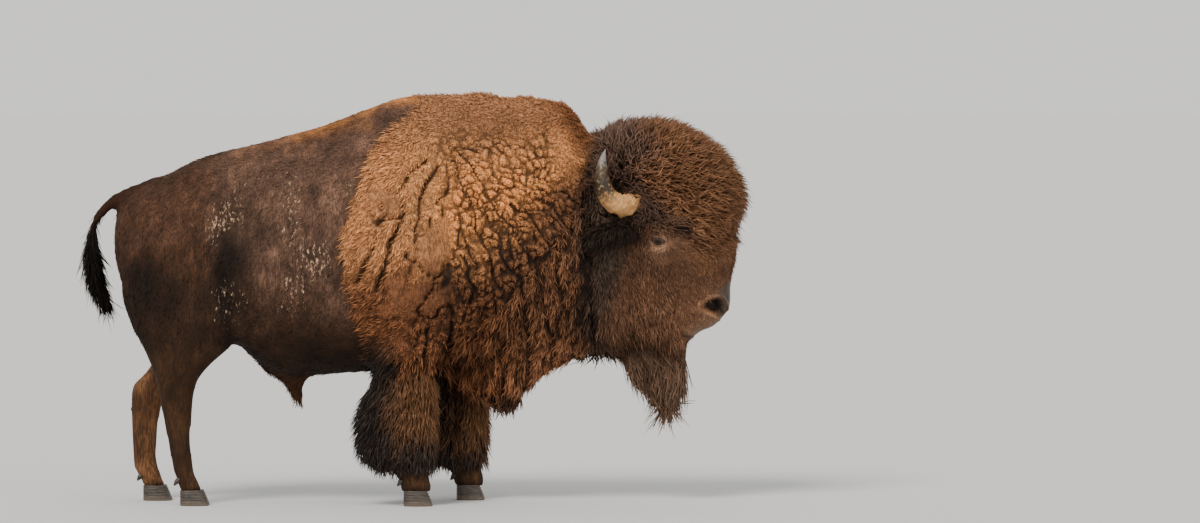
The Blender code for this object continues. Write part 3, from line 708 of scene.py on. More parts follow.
def coatColour(p, n, r):
    # the markings: every colour laid over the last where its part of the body is
    x, y, z = p.T
    along, out = (p - crown) @ faceDown, (p - crown) @ faceOut
    eyeX, eyeZ = eyePlace["x"], eyePlace["z"]
    c = coatColours
    blur = 0.05 * noise(p, 0.16, 21) + 0.025 * noise(p, 0.05, 22)
    legMiddle = np.where(y > 0, legMiddles["left"], legMiddles["right"])
    behindLeg = smoothstep(0.03, -0.09, x - legMiddle + blur)
    colour = bodyColour(p, n, r, blur)
    colour = lay(colour, woolColour(p, blur, behindLeg), r["cape"] + r["shag"])
    lowOnLeg = smoothstep(0.60, 0.25, legShare(z + 2 * blur))
    chaps = lay(plain("chapsBrown", p), c["chapsDark"] * 1.15, lowOnLeg)
    chaps = lay(chaps, c["chapsDark"], behindLeg)
    colour = lay(colour, chaps, r["chaps"])
    bonnet = lay(plain("forehead", p), c["foreheadTop"], smoothstep(0.16, 0.02, along + 0.6 * blur))
    bonnet = lay(bonnet, c["foreheadTop"] * 0.8, smoothstep(-0.02, -0.10, out - 0.25 * along + 0.6 * blur))
    bonnet = lay(bonnet, c["behindHorn"], smoothstep(-0.10, -0.20, out + 0.5 * blur))
    bonnet = lay(bonnet, c["forehead"] * 0.78, smoothstep(0.03, 0.15, out + 0.5 * blur))
    colour = lay(colour, bonnet, r["bonnet"])
    # painted light: the cheek is painted lighter low down, where the lamps leave it in shade
    lowCheekLight = smoothstep(eyeZ - 0.12, eyeZ - 0.40, z)[:, None]
    behindEye = smoothstep(eyeX - 0.08, eyeX - 0.18, x + 0.3 * (eyeZ - z))
    cheek = lay(c["cheek"] * (1 + 0.75 * lowCheekLight), c["behindHorn"] * 0.72, behindEye)
    colour = lay(colour, cheek, r["face"] + r["cheek"])
    # painted shade round the ear, a lighter bridge of the nose, rings of painted shade and light for the
    # eye's wrinkled skin, painted shade in the groove before the brow
    nearEar = oval(x - earMiddle[0], z - earMiddle[2] - 0.02, 0.125, 0.105)
    colour = lay(colour, c["ear"], 0.48 * nearEar * (1 - r["body"]))
    bridge = smoothstep(-0.02, 0.05, out) * smoothstep(0.66, 0.60, along) * r["face"]
    colour = lay(colour, c["forehead"] * 1.1, 0.7 * bridge)
    fromEye = np.hypot((x - eyeX) / 1.35, z - eyeZ)
    # painted shade and light: rings that stand in for the lit and shaded sides of wrinkles
    wrinkleShading = 0.86 + 0.26 * np.sin(fromEye * 2 * np.pi / 0.0145 + 2.5 * noise(p, 0.02, 27))
    colour = lay(colour, c["eyeSkin"] * wrinkleShading[:, None], 0.85 * r["eye"])
    # painted shade in the sunk groove before the brow
    groove = oval(x - eyeX - 0.085, z - eyeZ - 0.050, 0.040, 0.040)
    colour = lay(colour, c["behindHorn"] * 0.6, 0.8 * groove * np.clip(r["face"] + r["bonnet"], 0, 1))
    colour = lay(colour, c["beard"], r["beard"] * smoothstep(beardTop + 0.10, beardTop - 0.15, z))
    for kind in ("muzzle", "ear", "dock", "tuft", "sheath"):
        colour = lay(colour, c[kind], r[kind])
    return colour


# the wool's plates and the cracks between them, in metres
woolPlates = {
    "slant": np.radians(48.0),      # the upper plates run forwards and down at this angle
    "small": (0.050, 0.032, 0.024), "smallTall": (0.026, 0.038, 0.042), "crackWidth": 0.0041,
    "cord": (0.040, 0.050, 0.150), "cordWidth": 0.0056, "foldWidth": 0.0105, "warp": 0.017,
    # in shares of the forequarters: plates fade in from the rear, end below the top and above the hem,
    # and grow tall low down in front
    "fromRear": (0.14, 0.50), "belowTop": (0.945, 0.850), "aboveHem": (0.16, 0.24),
    "tallBelow": (0.611, 0.477), "tallBefore": (0.165, 0.415),
}

# the matted wool's creases: a fan spreading from the withers, and folds that hang on the lower shoulder
creases = {
    "fanPlace": placeIn("forequarters", 0.40, 0.88), "spokes": 21, "fanFrom": 0.12, "fanTo": 0.74,
    "branchAt": 0.36, "steepest": 0.35, "shallowest": 2.15,
    "hangSpacing": 0.105, "hangTop": 0.60, "hangLean": 0.12, "waver": 0.030, "shortest": 0.14,
}


def nearCrease(p):
    # distance to the nearest crease: r times the angle to the nearest spoke, spokes doubling further out,
    # or across the hanging folds; noise wavers the lines and ends them
    c = creases
    x, _, z = p.T
    along, down = x - c["fanPlace"][0], c["fanPlace"][2] - z
    r = np.hypot(along, down) + 1e-6
    turn = np.arctan2(down, along) + c["waver"] / r * noise(p, 0.13, 65)
    step = 2 * np.pi / c["spokes"] / np.where(r > c["branchAt"], 2, 1)
    away = r * np.abs((turn / step + 0.5) % 1.0 - 0.5) * step
    downwards = (turn > c["steepest"]) & (turn < c["shallowest"])
    shown = downwards & (r > c["fanFrom"]) & (r < c["fanTo"]) & (noise(p, c["shortest"], 66) > -0.35)
    fan = np.where(shown, away, 1.0)
    drift = x + c["hangLean"] * (z - foreLow[2]) + c["waver"] * noise(p, 0.16, 67)
    folds = np.abs((drift / c["hangSpacing"] + 0.5) % 1.0 - 0.5) * c["hangSpacing"]
    low = z < foreLow[2] + c["hangTop"] * (foreHigh[2] - foreLow[2])
    hung = low & (x > foreLow[0] + 0.2) & (noise(p, c["shortest"], 68) > -0.3)
    return np.minimum(fan, np.where(hung, folds, 1.0))


def platedShare(p):
    # how much the wool is broken into plates: the front of the cape, below its top and above its hem
    foreX = shareOf("forequarters", 0, p[:, 0] + 0.14 * noise(p, 0.12, 63))
    foreZ = shareOf("forequarters", 2, p[:, 2] + 0.06 * noise(p, 0.1, 64))
    crest = smoothstep(-0.05, 0.05, p[:, 0] - ridgeFrom[0] + 0.45 * (p[:, 2] - ridgeFrom[2]))
    w = woolPlates
    share = smoothstep(*w["fromRear"], foreX) * smoothstep(*w["belowTop"], foreZ)
    return share * smoothstep(*w["aboveHem"], foreZ) * (1 - crest)


def woolPattern(p):
    # (how deep in a crack, vector to the middle of the plate, the plate's own value)
    x, _, z = p.T
    w = woolPlates
    wander = noiseVectors(p, 0.055, 31) * w["warp"]
    foreX, foreZ = shareOf("forequarters", 0, x), shareOf("forequarters", 2, z)
    tall = smoothstep(*w["tallBelow"], foreZ) * smoothstep(*w["tallBefore"], foreX)
    c, s = np.cos(w["slant"]), np.sin(w["slant"])
    turned = np.array([[c, 0.0, s], [0.0, 1.0, 0.0], [-s, 0.0, c]])
    edgeA, middleA, ownA = cells((p + wander) @ turned, w["small"], 41)
    middleA = middleA @ turned.T
    edgeB, middleB, ownB = cells(p + wander, w["smallTall"], 51)
    edgeC, middleC, ownC = cells(p + wander, w["cord"], 61)
    middleC[:, 2] = 0.0      # cords gather sideways only
    useCord = climbing(x, shagShape) - z + 0.06 * noise(p, 0.1, 70) > 0
    creaseAway = nearCrease(p + 0.9 * wander)
    useTall = tall > 0.5 + 0.2 * noise(p, 0.1, 62)
    edge = np.where(useTall, edgeB, edgeA)
    middle = np.where(useTall[:, None], middleB, middleA)
    own = np.where(useTall, ownB, ownA)
    crack = smoothstep(w["crackWidth"], 0.15 * w["crackWidth"], edge)
    crack = crack * (0.10 + 0.90 * platedShare(p)) * np.clip(0.95 + 0.4 * noise(p, 0.09, 69), 0.5, 1)
    crack = np.where(useCord, smoothstep(w["cordWidth"], 0.15 * w["cordWidth"], edgeC), crack)
    middle = np.where(useCord[:, None], middleC, middle)
    own = np.where(useCord, ownC, own)
    foldWidth = w["foldWidth"] * (1 + 1.1 * smoothstep(0.60, 0.45, foreZ))
    fold = smoothstep(foldWidth, 0.25 * foldWidth, creaseAway)
    flat, lip = mattedShare(p)
    return np.maximum(np.maximum(crack * 0.92, fold) * (1 - 0.8 * flat), lip), middle, own


print("colours and wool pattern ready")


def makeSkin():
    # all flesh solids joined, read again as one surface, smoothed, and refined where the coat needs it
    points, triangles, owner = joinedNodes(fleshNodes, skinShape["overlap"])
    tree = BVHTree.FromPolygons(points.tolist(), triangles.tolist())
    data = remeshed(points, triangles, skinShape["voxel"])
    setPoints(data, evenedOut(readMesh(data)[0], edgesOf(data), skinShape["firstSmoothing"]))
    unwrapped(data)

    def fineCoat(p):
        # the plated wool, the face and the ears
        x, y, z = p.T
        foreX, foreZ = shareOf("forequarters", 0, x), shareOf("forequarters", 2, z)
        cape = (foreX > 0.20) & (x < neckFront) & (foreZ > 0.20) & (foreZ < 0.94)
        face = (shareOf("head", 0, x) > 0.2) & (shareOf("head", 2, z) < 0.65)
        ear = (np.abs(y) > earLow[1]) & (x > earLow[0] - 0.03) & (x < earHigh[0] - 0.03)
        ear = ear & (z > earLow[2] - 0.04) & (z < earHigh[2] + 0.02)
        return cape | face | ear

    def fineFace(p):
        # round the eyes and on the muzzle
        x, y, z = p.T
        eye = np.hypot(x - eyePlace["x"], z - eyePlace["z"]) < 0.085
        eye = eye & (np.abs(y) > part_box("eye_left")[0][1] - 0.06)
        muzzle = ((p - crown) @ faceDown > 0.66) & (shareOf("head", 2, z) > 0.08)
        return eye | muzzle

    refine(data, fineCoat)
    refine(data, fineFace)
    points, triangles, _ = readMesh(data)
    edges = edgesOf(data)
    points = evenedOut(points, edges, skinShape["lastSmoothing"])
    normals = unit(relaxed(pointNormals(points, triangles), edges, 3))
    part = groupShares(points, edges, tree, groupOfNode[owner])
    regions = coatRegions(points, normals, part)
    return data, points, triangles, edges, normals, regions


skinData, tips, skinTriangles, skinEdges, skinNormals, regions = makeSkin()
print("skin fused:", len(skinTriangles), "triangles")


def aroundPlace(middle, rows):
    # relief rows given as steps in x and z from a middle, as rows with their own places
    return [(middle["x"] + dx, middle["z"] + dz, *rest) for dx, dz, *rest in rows]


# soft hills and hollows under the coat: x, z, half length, half height, rise in metres
bodyRelief = [(*placeIn("hindquarters", u, w)[[0, 2]], *rest) for u, w, *rest in (
    (0.57, 0.86, 0.075, 0.045, 0.013),    # hip bone
    (0.17, 0.71, 0.055, 0.045, 0.010),    # pin bone
    (0.97, 0.66, 0.085, 0.150, -0.018),   # hollow of the flank
    (0.90, 0.19, 0.055, 0.085, 0.012),    # stifle
    (0.46, 0.47, 0.060, 0.190, 0.009),    # muscle of the thigh
    (0.25, 0.40, 0.025, 0.190, -0.010),   # groove behind it
    (0.72, 0.40, 0.022, 0.180, -0.011),   # groove before it
    (0.86, 0.36, 0.024, 0.130, 0.008),    # fold of skin up from the stifle
)]
headRelief = aroundPlace(eyePlace, (
    (-0.013, 0.046, 0.050, 0.018, 0.010),   # brow over the eye
    (0.008, -0.044, 0.050, 0.022, 0.007),   # bare fold under the eye
    (0.004, 0.002, 0.045, 0.026, -0.006),   # socket
    (0.114, 0.046, 0.024, 0.046, -0.010),   # groove before the brow
    (0.062, -0.070, 0.022, 0.070, -0.005),  # tear line
)) + aroundPlace(nostrilPlace, (
    (-0.045, 0.052, 0.045, 0.030, 0.006),   # above the nostril
    (-0.070, -0.033, 0.040, 0.036, 0.007),  # upper lip
))
reliefGain = 1.8


def facingOut(n):
    # 1 on the sides of the body, 0 where the surface faces up, down, forwards or back
    return smoothstep(0.15, 0.6, np.abs(n[:, 1]))


def reliefOver(p, n, table):
    # the sum of soft ellipses seen from the side, on both sides of the body
    rise = np.zeros(len(p))
    for x, z, halfLong, halfHigh, height in table:
        rise += height * oval(p[:, 0] - x, p[:, 2] - z, halfLong, halfHigh)
    return reliefGain * rise * facingOut(n)


nostril = {"halfLong": 0.050, "halfHigh": 0.035, "tilt": 0.50, "depth": 0.042, "rim": 0.013}


def nostrilShape(p, n):
    # a comma-shaped pit with a raised rim: (rise of the surface, how far inside the opening)
    dx, dz = p[:, 0] - nostrilPlace["x"], p[:, 2] - nostrilPlace["z"]
    c, s = np.cos(nostril["tilt"]), np.sin(nostril["tilt"])
    a = (dx * c - dz * s) / nostril["halfLong"]
    b = (dx * s + dz * c) / nostril["halfHigh"]
    b = b + 0.55 * a * a - 0.25     # bends the ellipse into a comma
    q = np.sqrt(a * a + b * b)
    facing = smoothstep(0.15, 0.45, np.abs(n[:, 1]))
    inside = smoothstep(1.05, 0.55, q) * facing
    rim = bell(q, 1.28, 0.26) * facing
    return nostril["rim"] * rim - nostril["depth"] * inside, inside, rim


def mouthLine(p):
    # how near each point is to the line where the lips meet
    x, _, z = p.T
    along = smoothstep(nostrilPlace["x"] - 0.205, nostrilPlace["x"] - 0.145, x)
    return bell(z, lipHeight(x), 0.008) * along


def innerRoom(points, triangles, normals):
    # how thick the flesh is under each point
    tree = BVHTree.FromPolygons(points.tolist(), triangles.tolist())
    room = np.empty(len(points))
    for k, (place, inward) in enumerate(zip(points.tolist(), (-normals).tolist())):
        start = Vector(place) + 0.001 * Vector(inward)
        hit = tree.ray_cast(start, Vector(inward), skinShape["thickest"])
        room[k] = skinShape["thickest"] if hit[0] is None else hit[3]
    return room


# heights in metres that the skin rises or sinks by under its coat, and the spacing of the ribs
skinRise = {
    "foldLip": 0.010, "foldGroove": 0.013, "mouth": 0.006, "rib": 0.0034, "ribSpacing": 0.062,
    "plate": 0.006, "crack": 0.024, "lump": 0.009, "ripple": 0.0015,
}

crackDepth, _, plateOwn = woolPattern(tips)
woolly = np.clip(regions["cape"] + 0.85 * regions["shag"], 0, 1)
crackDepth = crackDepth * woolly
roomUnder = innerRoom(tips, skinTriangles, skinNormals)
coatDepth = np.minimum(blended(regions, "depth") / 1000.0, skinShape["deepestShare"] * roomUnder)
coatDepth = relaxed(coatDepth, skinEdges, 8)
rise = -coatDepth
rise += reliefOver(tips, skinNormals, bodyRelief) * regions["body"]
folded, foldAlong = flankFold(tips)
foldLip = skinRise["foldLip"] * bell(folded, 0.0, 0.018)
foldGroove = skinRise["foldGroove"] * bell(folded, -0.042, 0.028)
rise += foldAlong * regions["body"] * facingOut(skinNormals) * (foldLip - foldGroove)
headShare = np.clip(sum(regions[kind] for kind in ("face", "cheek", "eye", "muzzle", "bonnet")), 0, 1)
rise += reliefOver(tips, skinNormals, headRelief) * headShare
pit, inNostril, nostrilRim = nostrilShape(tips, skinNormals)
mouth = mouthLine(tips) * headShare
rise += pit * headShare - skinRise["mouth"] * mouth
fromRibs = tips - ribMiddle
ribs = skinRise["rib"] * np.sin((tips[:, 0] + 0.25 * fromRibs[:, 2]) * 2 * np.pi / skinRise["ribSpacing"])
rise += ribs * regions["body"] * bell(fromRibs[:, 0], 0, 0.22) * bell(fromRibs[:, 2], 0, 0.25)
rise += woolly * (skinRise["plate"] * bell(plateOwn, 1.0, 0.6) - skinRise["crack"] * crackDepth)
rise += skinRise["lump"] * noise(tips, 0.10, 12) * regions["cape"]
rise += skinRise["ripple"] * noise(tips, 0.05, 11) * regions["body"]
roots = tips + skinNormals * rise[:, None]
roots = evenedOut(roots, skinEdges, 1)
atHoof = (tips[:, 2] < legLow + 0.012) & (skinNormals[:, 2] < -0.5)
roots[atHoof, 2] -= 0.008
skinLie = lieOfCoat(tips, skinNormals, regions)
skinLie = unit(flattened(relaxed(skinLie, skinEdges, 12), skinNormals))
rootNormals = pointNormals(roots, skinTriangles)
skinColour = coatColour(tips, skinNormals, regions)
print("skin laid under its coat")


def nodeGroup(name, inputs, outputs):
    # an empty shader group with the named sockets, and its two ends
    group = bpy.data.node_groups.new(name, "ShaderNodeTree")
    for label, kind, default in inputs:
        socket = group.interface.new_socket(name=label, in_out="INPUT", socket_type=kind)
        if default is not None:
            socket.default_value = default
    for label, kind in outputs:
        group.interface.new_socket(name=label, in_out="OUTPUT", socket_type=kind)
    return group, group.nodes.new("NodeGroupInput"), group.nodes.new("NodeGroupOutput")


def placeNoise(tree, scale, detail, roughness=0.5, stretch=(1.0, 1.0, 1.0)):
    # noise from 0 to 1 on Object coordinates; stretch multiplies the place along each axis
    coordinates = tree.nodes.new("ShaderNodeTexCoord")
    mapping = tree.nodes.new("ShaderNodeMapping")
    mapping.inputs["Scale"].default_value = stretch
    texture = tree.nodes.new("ShaderNodeTexNoise")
    texture.inputs["Scale"].default_value = scale
    texture.inputs["Detail"].default_value = detail
    texture.inputs["Roughness"].default_value = roughness
    tree.links.new(coordinates.outputs["Object"], mapping.inputs["Vector"])
    tree.links.new(mapping.outputs["Vector"], texture.inputs["Vector"])
    return texture.outputs["Fac"]


def feed(tree, socket, value):
    # a number or a colour is set on the socket, another node's output is linked to it
    if isinstance(value, (int, float)):
        socket.default_value = value
    elif isinstance(value, (tuple, np.ndarray)):
        socket.default_value = (*[float(v) for v in value], 1.0)
    else:
        tree.links.new(value, socket)


def mathNode(tree, operation, first, second, clamp=False):
    # two numbers added, subtracted or multiplied
    node = tree.nodes.new("ShaderNodeMath")
    node.operation = operation
    node.use_clamp = clamp
    feed(tree, node.inputs[0], first)
    feed(tree, node.inputs[1], second)
    return node.outputs[0]


def bumpNode(tree, height, distance, strength):
    # the normal of a surface raised by height times distance
    node = tree.nodes.new("ShaderNodeBump")
    node.inputs["Distance"].default_value = distance
    feed(tree, node.inputs["Strength"], strength)
    feed(tree, node.inputs["Height"], height)
    return node.outputs["Normal"]


def vectorNode(tree, operation, first, second=None, output="Vector"):
    # one step of vector maths
    node = tree.nodes.new("ShaderNodeVectorMath")
    node.operation = operation
    tree.links.new(first, node.inputs[0])
    if second is not None:
        node.inputs[1].default_value = second
    return node.outputs[output]


def rangeNode(tree, value, low, high, toLow=0.0, toHigh=1.0):
    # a smooth step from toLow at low to toHigh at high
    node = tree.nodes.new("ShaderNodeMapRange")
    node.interpolation_type = "SMOOTHSTEP"
    tree.links.new(value, node.inputs["Value"])
    for label, number in (("From Min", low), ("From Max", high), ("To Min", toLow), ("To Max", toHigh)):
        node.inputs[label].default_value = number
    return node.outputs["Result"]


def mixColour(tree, share, first, second):
    # the second colour over the first; sockets 0, 6 and 7 are the share and the two colours
    node = tree.nodes.new("ShaderNodeMix")
    node.data_type = "RGBA"
    for number, value in ((0, share), (6, first), (7, second)):
        feed(tree, node.inputs[number], value)
    return node.outputs[2]


def makeUneven():
    # lighter and darker places over a colour: broad ones and fine ones
    group, start, end = nodeGroup(
        "uneven",
        [("Color", "NodeSocketColor", (0.5, 0.5, 0.5, 1.0)), ("Broad", "NodeSocketFloat", 0.2),
         ("Fine", "NodeSocketFloat", 0.2)],
        [("Color", "NodeSocketColor")],
    )
    parts = []
    for label, scale, detail in (("Broad", 9.0, 3.0), ("Fine", 140.0, 2.0)):
        about = mathNode(group, "SUBTRACT", placeNoise(group, scale, detail), 0.5)
        parts.append(mathNode(group, "MULTIPLY", about, start.outputs[label]))
    gain = mathNode(group, "ADD", mathNode(group, "ADD", *parts), 1.0)
    scaled = group.nodes.new("ShaderNodeVectorMath")
    scaled.operation = "SCALE"
    group.links.new(start.outputs["Color"], scaled.inputs[0])
    group.links.new(gain, scaled.inputs["Scale"])
    group.links.new(scaled.outputs["Vector"], end.inputs["Color"])
    return group


def makeShortHair():
    # the bump of short hair that lies flat: fine streaks, stretched down the sides
    group, start, end = nodeGroup(
        "shortHair",
        [("Depth", "NodeSocketFloat", 0.5)],
        [("Normal", "NodeSocketVector"), ("Streaks", "NodeSocketFloat")],
    )
    streaks = placeNoise(group, 150.0, 4.0, 0.62, (1.0, 1.0, 0.16))
    broad = placeNoise(group, 38.0, 2.0, 0.5, (1.0, 1.0, 0.45))
    height = mathNode(group, "ADD", streaks, mathNode(group, "MULTIPLY", broad, 0.9))
    group.links.new(bumpNode(group, height, 0.003, start.outputs["Depth"]), end.inputs["Normal"])
    group.links.new(streaks, end.inputs["Streaks"])
    return group


def makeDriedMud():
    # pale flecks of dried mud, drawn out down the hair, where the mask lets them
    group, start, end = nodeGroup(
        "driedMud",
        [("Color", "NodeSocketColor", (0.5, 0.5, 0.5, 1.0)), ("Mask", "NodeSocketFloat", 0.0)],
        [("Color", "NodeSocketColor"), ("Flecks", "NodeSocketFloat")],
    )
    flecks = placeNoise(group, 82.0, 6.0, 0.72, (1.0, 1.0, 0.40))
    threshold = mathNode(group, "SUBTRACT", 0.81, mathNode(group, "MULTIPLY", start.outputs["Mask"], 0.30))
    over = mathNode(group, "SUBTRACT", flecks, threshold)
    share = mathNode(group, "MULTIPLY", over, 9.0, clamp=True)
    shown = mathNode(group, "MULTIPLY", share, 0.80)
    mixed = mixColour(group, shown, start.outputs["Color"], coatColours["mud"])
    group.links.new(mixed, end.inputs["Color"])
    group.links.new(share, end.inputs["Flecks"])
    return group


unevenGroup = makeUneven()
shortHairGroup = makeShortHair()
driedMudGroup = makeDriedMud()


def newMaterial(name, roughness, specular):
    # a material with its node tree and its Principled shader
    made = bpy.data.materials.new(name)
    made.use_nodes = True
    shader = made.node_tree.nodes["Principled BSDF"]
    shader.inputs["Roughness"].default_value = roughness
    shader.inputs["Specular IOR Level"].default_value = specular
    return made, made.node_tree, shader


def useGroup(tree, group, **values):
    # a shader group placed in a tree, with its inputs fed by name
    node = tree.nodes.new("ShaderNodeGroup")
    node.node_tree = group
    for label, value in values.items():
        feed(tree, node.inputs[label], value)
    return node


def readAttribute(tree, name, output="Color"):
    # what colourAttribute or valueAttribute kept at the points
    node = tree.nodes.new("ShaderNodeAttribute")
    node.attribute_type = "GEOMETRY"
    node.attribute_name = name
    return node.outputs[output]


def makeHide():
    # skin and its shortest hair: coat colour, painted shade in dark streaks between the hairs, dried mud,
    # smoother bare skin
    made, tree, shader = newMaterial("hide", 0.72, 0.10)
    colour = readAttribute(tree, "coat")
    bare = readAttribute(tree, "bare", "Fac")
    mud = readAttribute(tree, "mud", "Fac")
    hair = useGroup(tree, shortHairGroup, Depth=1.0)
    uneven = useGroup(tree, unevenGroup, Color=colour, Broad=0.55, Fine=0.50)
    # painted shade: dark streaks in the gaps between the short hairs
    between = rangeNode(tree, hair.outputs["Streaks"], 0.38, 0.62, 0.0, 0.62)
    hairGapShaded = mixColour(tree, between, uneven.outputs["Color"], (0.012, 0.008, 0.006))
    muddy = useGroup(tree, driedMudGroup, Color=hairGapShaded, Mask=mud)
    tree.links.new(muddy.outputs["Color"], shader.inputs["Base Color"])
    roughness = mathNode(tree, "SUBTRACT", 0.74, mathNode(tree, "MULTIPLY", bare, 0.36))
    tree.links.new(roughness, shader.inputs["Roughness"])
    tree.links.new(hair.outputs["Normal"], shader.inputs["Normal"])
    return made


def makeCoatMaterial(name, roughness, broad, fine):
    # hair in tufts: the coat colour at its root, made uneven
    made, tree, shader = newMaterial(name, roughness, 0.11)
    uneven = useGroup(tree, unevenGroup, Color=readAttribute(tree, "coat"), Broad=broad, Fine=fine)
    tree.links.new(uneven.outputs["Color"], shader.inputs["Base Color"])
    return made


hideMaterial = makeHide()
woolMaterial = makeCoatMaterial("wool", 0.82, 0.30, 0.40)
shortCoatMaterial = makeCoatMaterial("short coat", 0.60, 0.25, 0.40)
darkCoatMaterial = makeCoatMaterial("dark coat", 0.66, 0.25, 0.40)

# dried mud from rolling: patches of noise, thickest halfway up the side and thinning to the back and belly
mudShape = {"patch": 0.13, "from": -0.60, "to": 0.50, "heightAt": 0.48, "tall": 0.46}


def mudOver(p, n):
    # a smooth step of patchy noise times a bell in height over the barrel and the hindquarters
    m = mudShape
    patches = smoothstep(m["from"], m["to"], noise(p * np.array([1.0, 1.0, 0.6]), m["patch"], 71))
    behind = smoothstep(foreLow[0] + 0.05, foreLow[0] - 0.12, p[:, 0])
    height = bell(shareOf("barrel", 2, p[:, 2]), m["heightAt"], m["tall"])
    behind = behind * smoothstep(hipLine - 0.30, hipLine - 0.05, p[:, 0] + 0.08 * noise(p, 0.12, 72))
    return patches * behind * height * smoothstep(0.2, 0.6, np.abs(n[:, 1]))


setPoints(skinData, roots)
skin = smoothPiece("skin", skinData, hideMaterial)
longHaired = [regions[kind] for kind in ("bonnet", "cheek", "beard", "chaps", "ear")]
hidden = np.clip(sum(longHaired, woolly), 0, 1)
# painted shade: the skin darkened under long hair and wool, and nearly black in the wool's cracks, creases
# and under its flaps
shadeUnderCoat = mix(mix(1.0, 0.42, hidden), 0.85, regions["cape"]) * mix(1.0, 0.05, crackDepth)
bareness = np.clip(regions["muzzle"], 0, 1)
fromNostril = tips - nostrilMiddle
noseTop = bareness * smoothstep(-0.055, -0.005, fromNostril[:, 0])
noseTop = noseTop * smoothstep(-0.008, 0.032, fromNostril[:, 2])
noseFront = bareness * smoothstep(0.010, 0.040, fromNostril[:, 0])
skinTint = mix(skinColour * shadeUnderCoat[:, None], coatColours["nose"], np.maximum(noseTop, noseFront) * 0.85)
rimShare = 0.62 * nostrilRim * headShare * (1 - 0.75 * noseFront) * (0.75 + 0.5 * noise(tips, 0.02, 13))
skinTint = mix(skinTint, coatColours["nostrilRim"], np.clip(rimShare, 0, 1))
# painted shade: near black inside the nostril pits and along the line where the lips meet
skinTint = mix(skinTint, coatColours["inside"], np.clip(inNostril * 0.9 + mouth * 0.8, 0, 1) * headShare)
colourAttribute(skin, "coat", skinTint)
valueAttribute(skin, "bare", bareness)
valueAttribute(skin, "mud", mudOver(tips, skinNormals) * regions["body"])
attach(skin, "root")
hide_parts(*fleshNodes)
print("skin made")

_, skinCorners, skinLoops = readMesh(skinData)
mapValues = np.empty(len(skinData.loops) * 2, np.float32)
skinData.uv_layers["OFBake"].data.foreach_get("uv", mapValues)
mapValues = mapValues.reshape(-1, 2)


def scatter(density, count, seed):
    # places spread evenly over the skin's triangles: (triangle, three corner shares)
    rng = np.random.default_rng(seed)
    a, b, c = (roots[skinCorners[:, k]] for k in range(3))
    area = np.linalg.norm(np.cross(b - a, c - a), axis=1) / 2
    running = np.cumsum(area * density[skinCorners].mean(1))
    at = (np.arange(count) + rng.random(count)) / count * running[-1]
    triangle = np.searchsorted(running, at)
    r1, r2 = np.sqrt(rng.random(count)), rng.random(count)
    return triangle, np.stack([1 - r1, r1 * (1 - r2), r1 * r2], 1), rng


def fromCorners(values, triangle, shares):
    # a value of the skin's points read at the scattered places
    picked = values[skinCorners[triangle]]
    return (picked * (shares if values.ndim == 1 else shares[:, :, None])).sum(1)


def tuftMesh(name, spine, side, up, width, thick, colours, rootMap, material):
    # each tuft is a closed three-sided spike: rings of three corners along its spine, then a tip
    # spine is (tufts, rings + 1, 3); side and up cross it; width and thick are (tufts, rings)
    count, rings = len(spine), spine.shape[1] - 1
    perTuft = 3 * rings + 1
    points = np.empty((count, perTuft, 3))
    for ring in range(rings):
        across = side[:, ring] * width[:, ring, None] / 2
        points[:, 3 * ring] = spine[:, ring] - across
        points[:, 3 * ring + 1] = spine[:, ring] + across
        points[:, 3 * ring + 2] = spine[:, ring] + up[:, ring] * thick[:, ring, None]
    points[:, -1] = spine[:, -1]
    pattern = [(0, 1, 2)]
    for ring in range(rings - 1):
        for corner in range(3):
            a, b = 3 * ring + corner, 3 * ring + (corner + 1) % 3
            pattern += [(b, a, a + 3), (b, a + 3, b + 3)]
    last = 3 * (rings - 1)
    pattern += [(last + (corner + 1) % 3, last + corner, perTuft - 1) for corner in range(3)]
    pattern = np.array(pattern)
    faces = (pattern[None] + (np.arange(count) * perTuft)[:, None, None]).reshape(-1, 3)
    obj = meshObject(name, points.reshape(-1, 3), faces, material)
    ringAt = np.append(np.repeat(np.arange(rings), 3), rings) / rings
    tone = mix(colours[0][:, None], colours[1][:, None], ringAt[None, :, None] ** 0.8)
    colourAttribute(obj, "coat", tone.reshape(-1, 3))
    patch = np.empty((perTuft, 2))
    patch[:, 0] = np.append(np.tile([-0.5, 0.5, 0.0], rings), 0.0)
    patch[:, 1] = ringAt - 0.5
    maps = rootMap[:, None, None] + 0.003 * patch[pattern][None]
    layer = obj.data.uv_layers.new(name="OFBake")
    layer.data.foreach_set("uv", np.ascontiguousarray(maps, np.float32).ravel())
    return obj


# brightness at a tuft's root and tip, how far tufts differ, and how much painted shade a crack puts on them
tuftColour = {"root": 0.36, "tip": 1.38, "spread": 0.42, "maneCrack": 0.66, "crack": 0.90}
# how much the tufts differ from each other, how thick they are for their width, and their limits in metres
tuftShape = {
    "length": 0.28, "width": 0.18, "lift": 0.25, "swing": 0.22, "drift": 0.25, "thickness": 0.42,
    "sunk": 0.0025, "lowest": 0.004, "pastBox": 0.012, "stray": 0.012, "ragged": 0.018, "curlTurn": 4.2,
    "profile": ((0.0, 0.3, 0.6, 0.85, 1.0), (0.75, 1.0, 0.92, 0.55, 0.0)),      # width along a tuft
}
# how much shorter, flatter or longer the cape's tufts are: in a crack, in a mat, on a plate, at the rear
capeTufts = {
    "crackShorter": 0.45, "matShorter": 0.45, "plateShorter": 0.34, "rearLonger": 1.1,
    "rearFlatter": 0.45, "matFlatter": 0.5, "plateLooser": 0.40, "maneFrontShorter": 0.30,
}


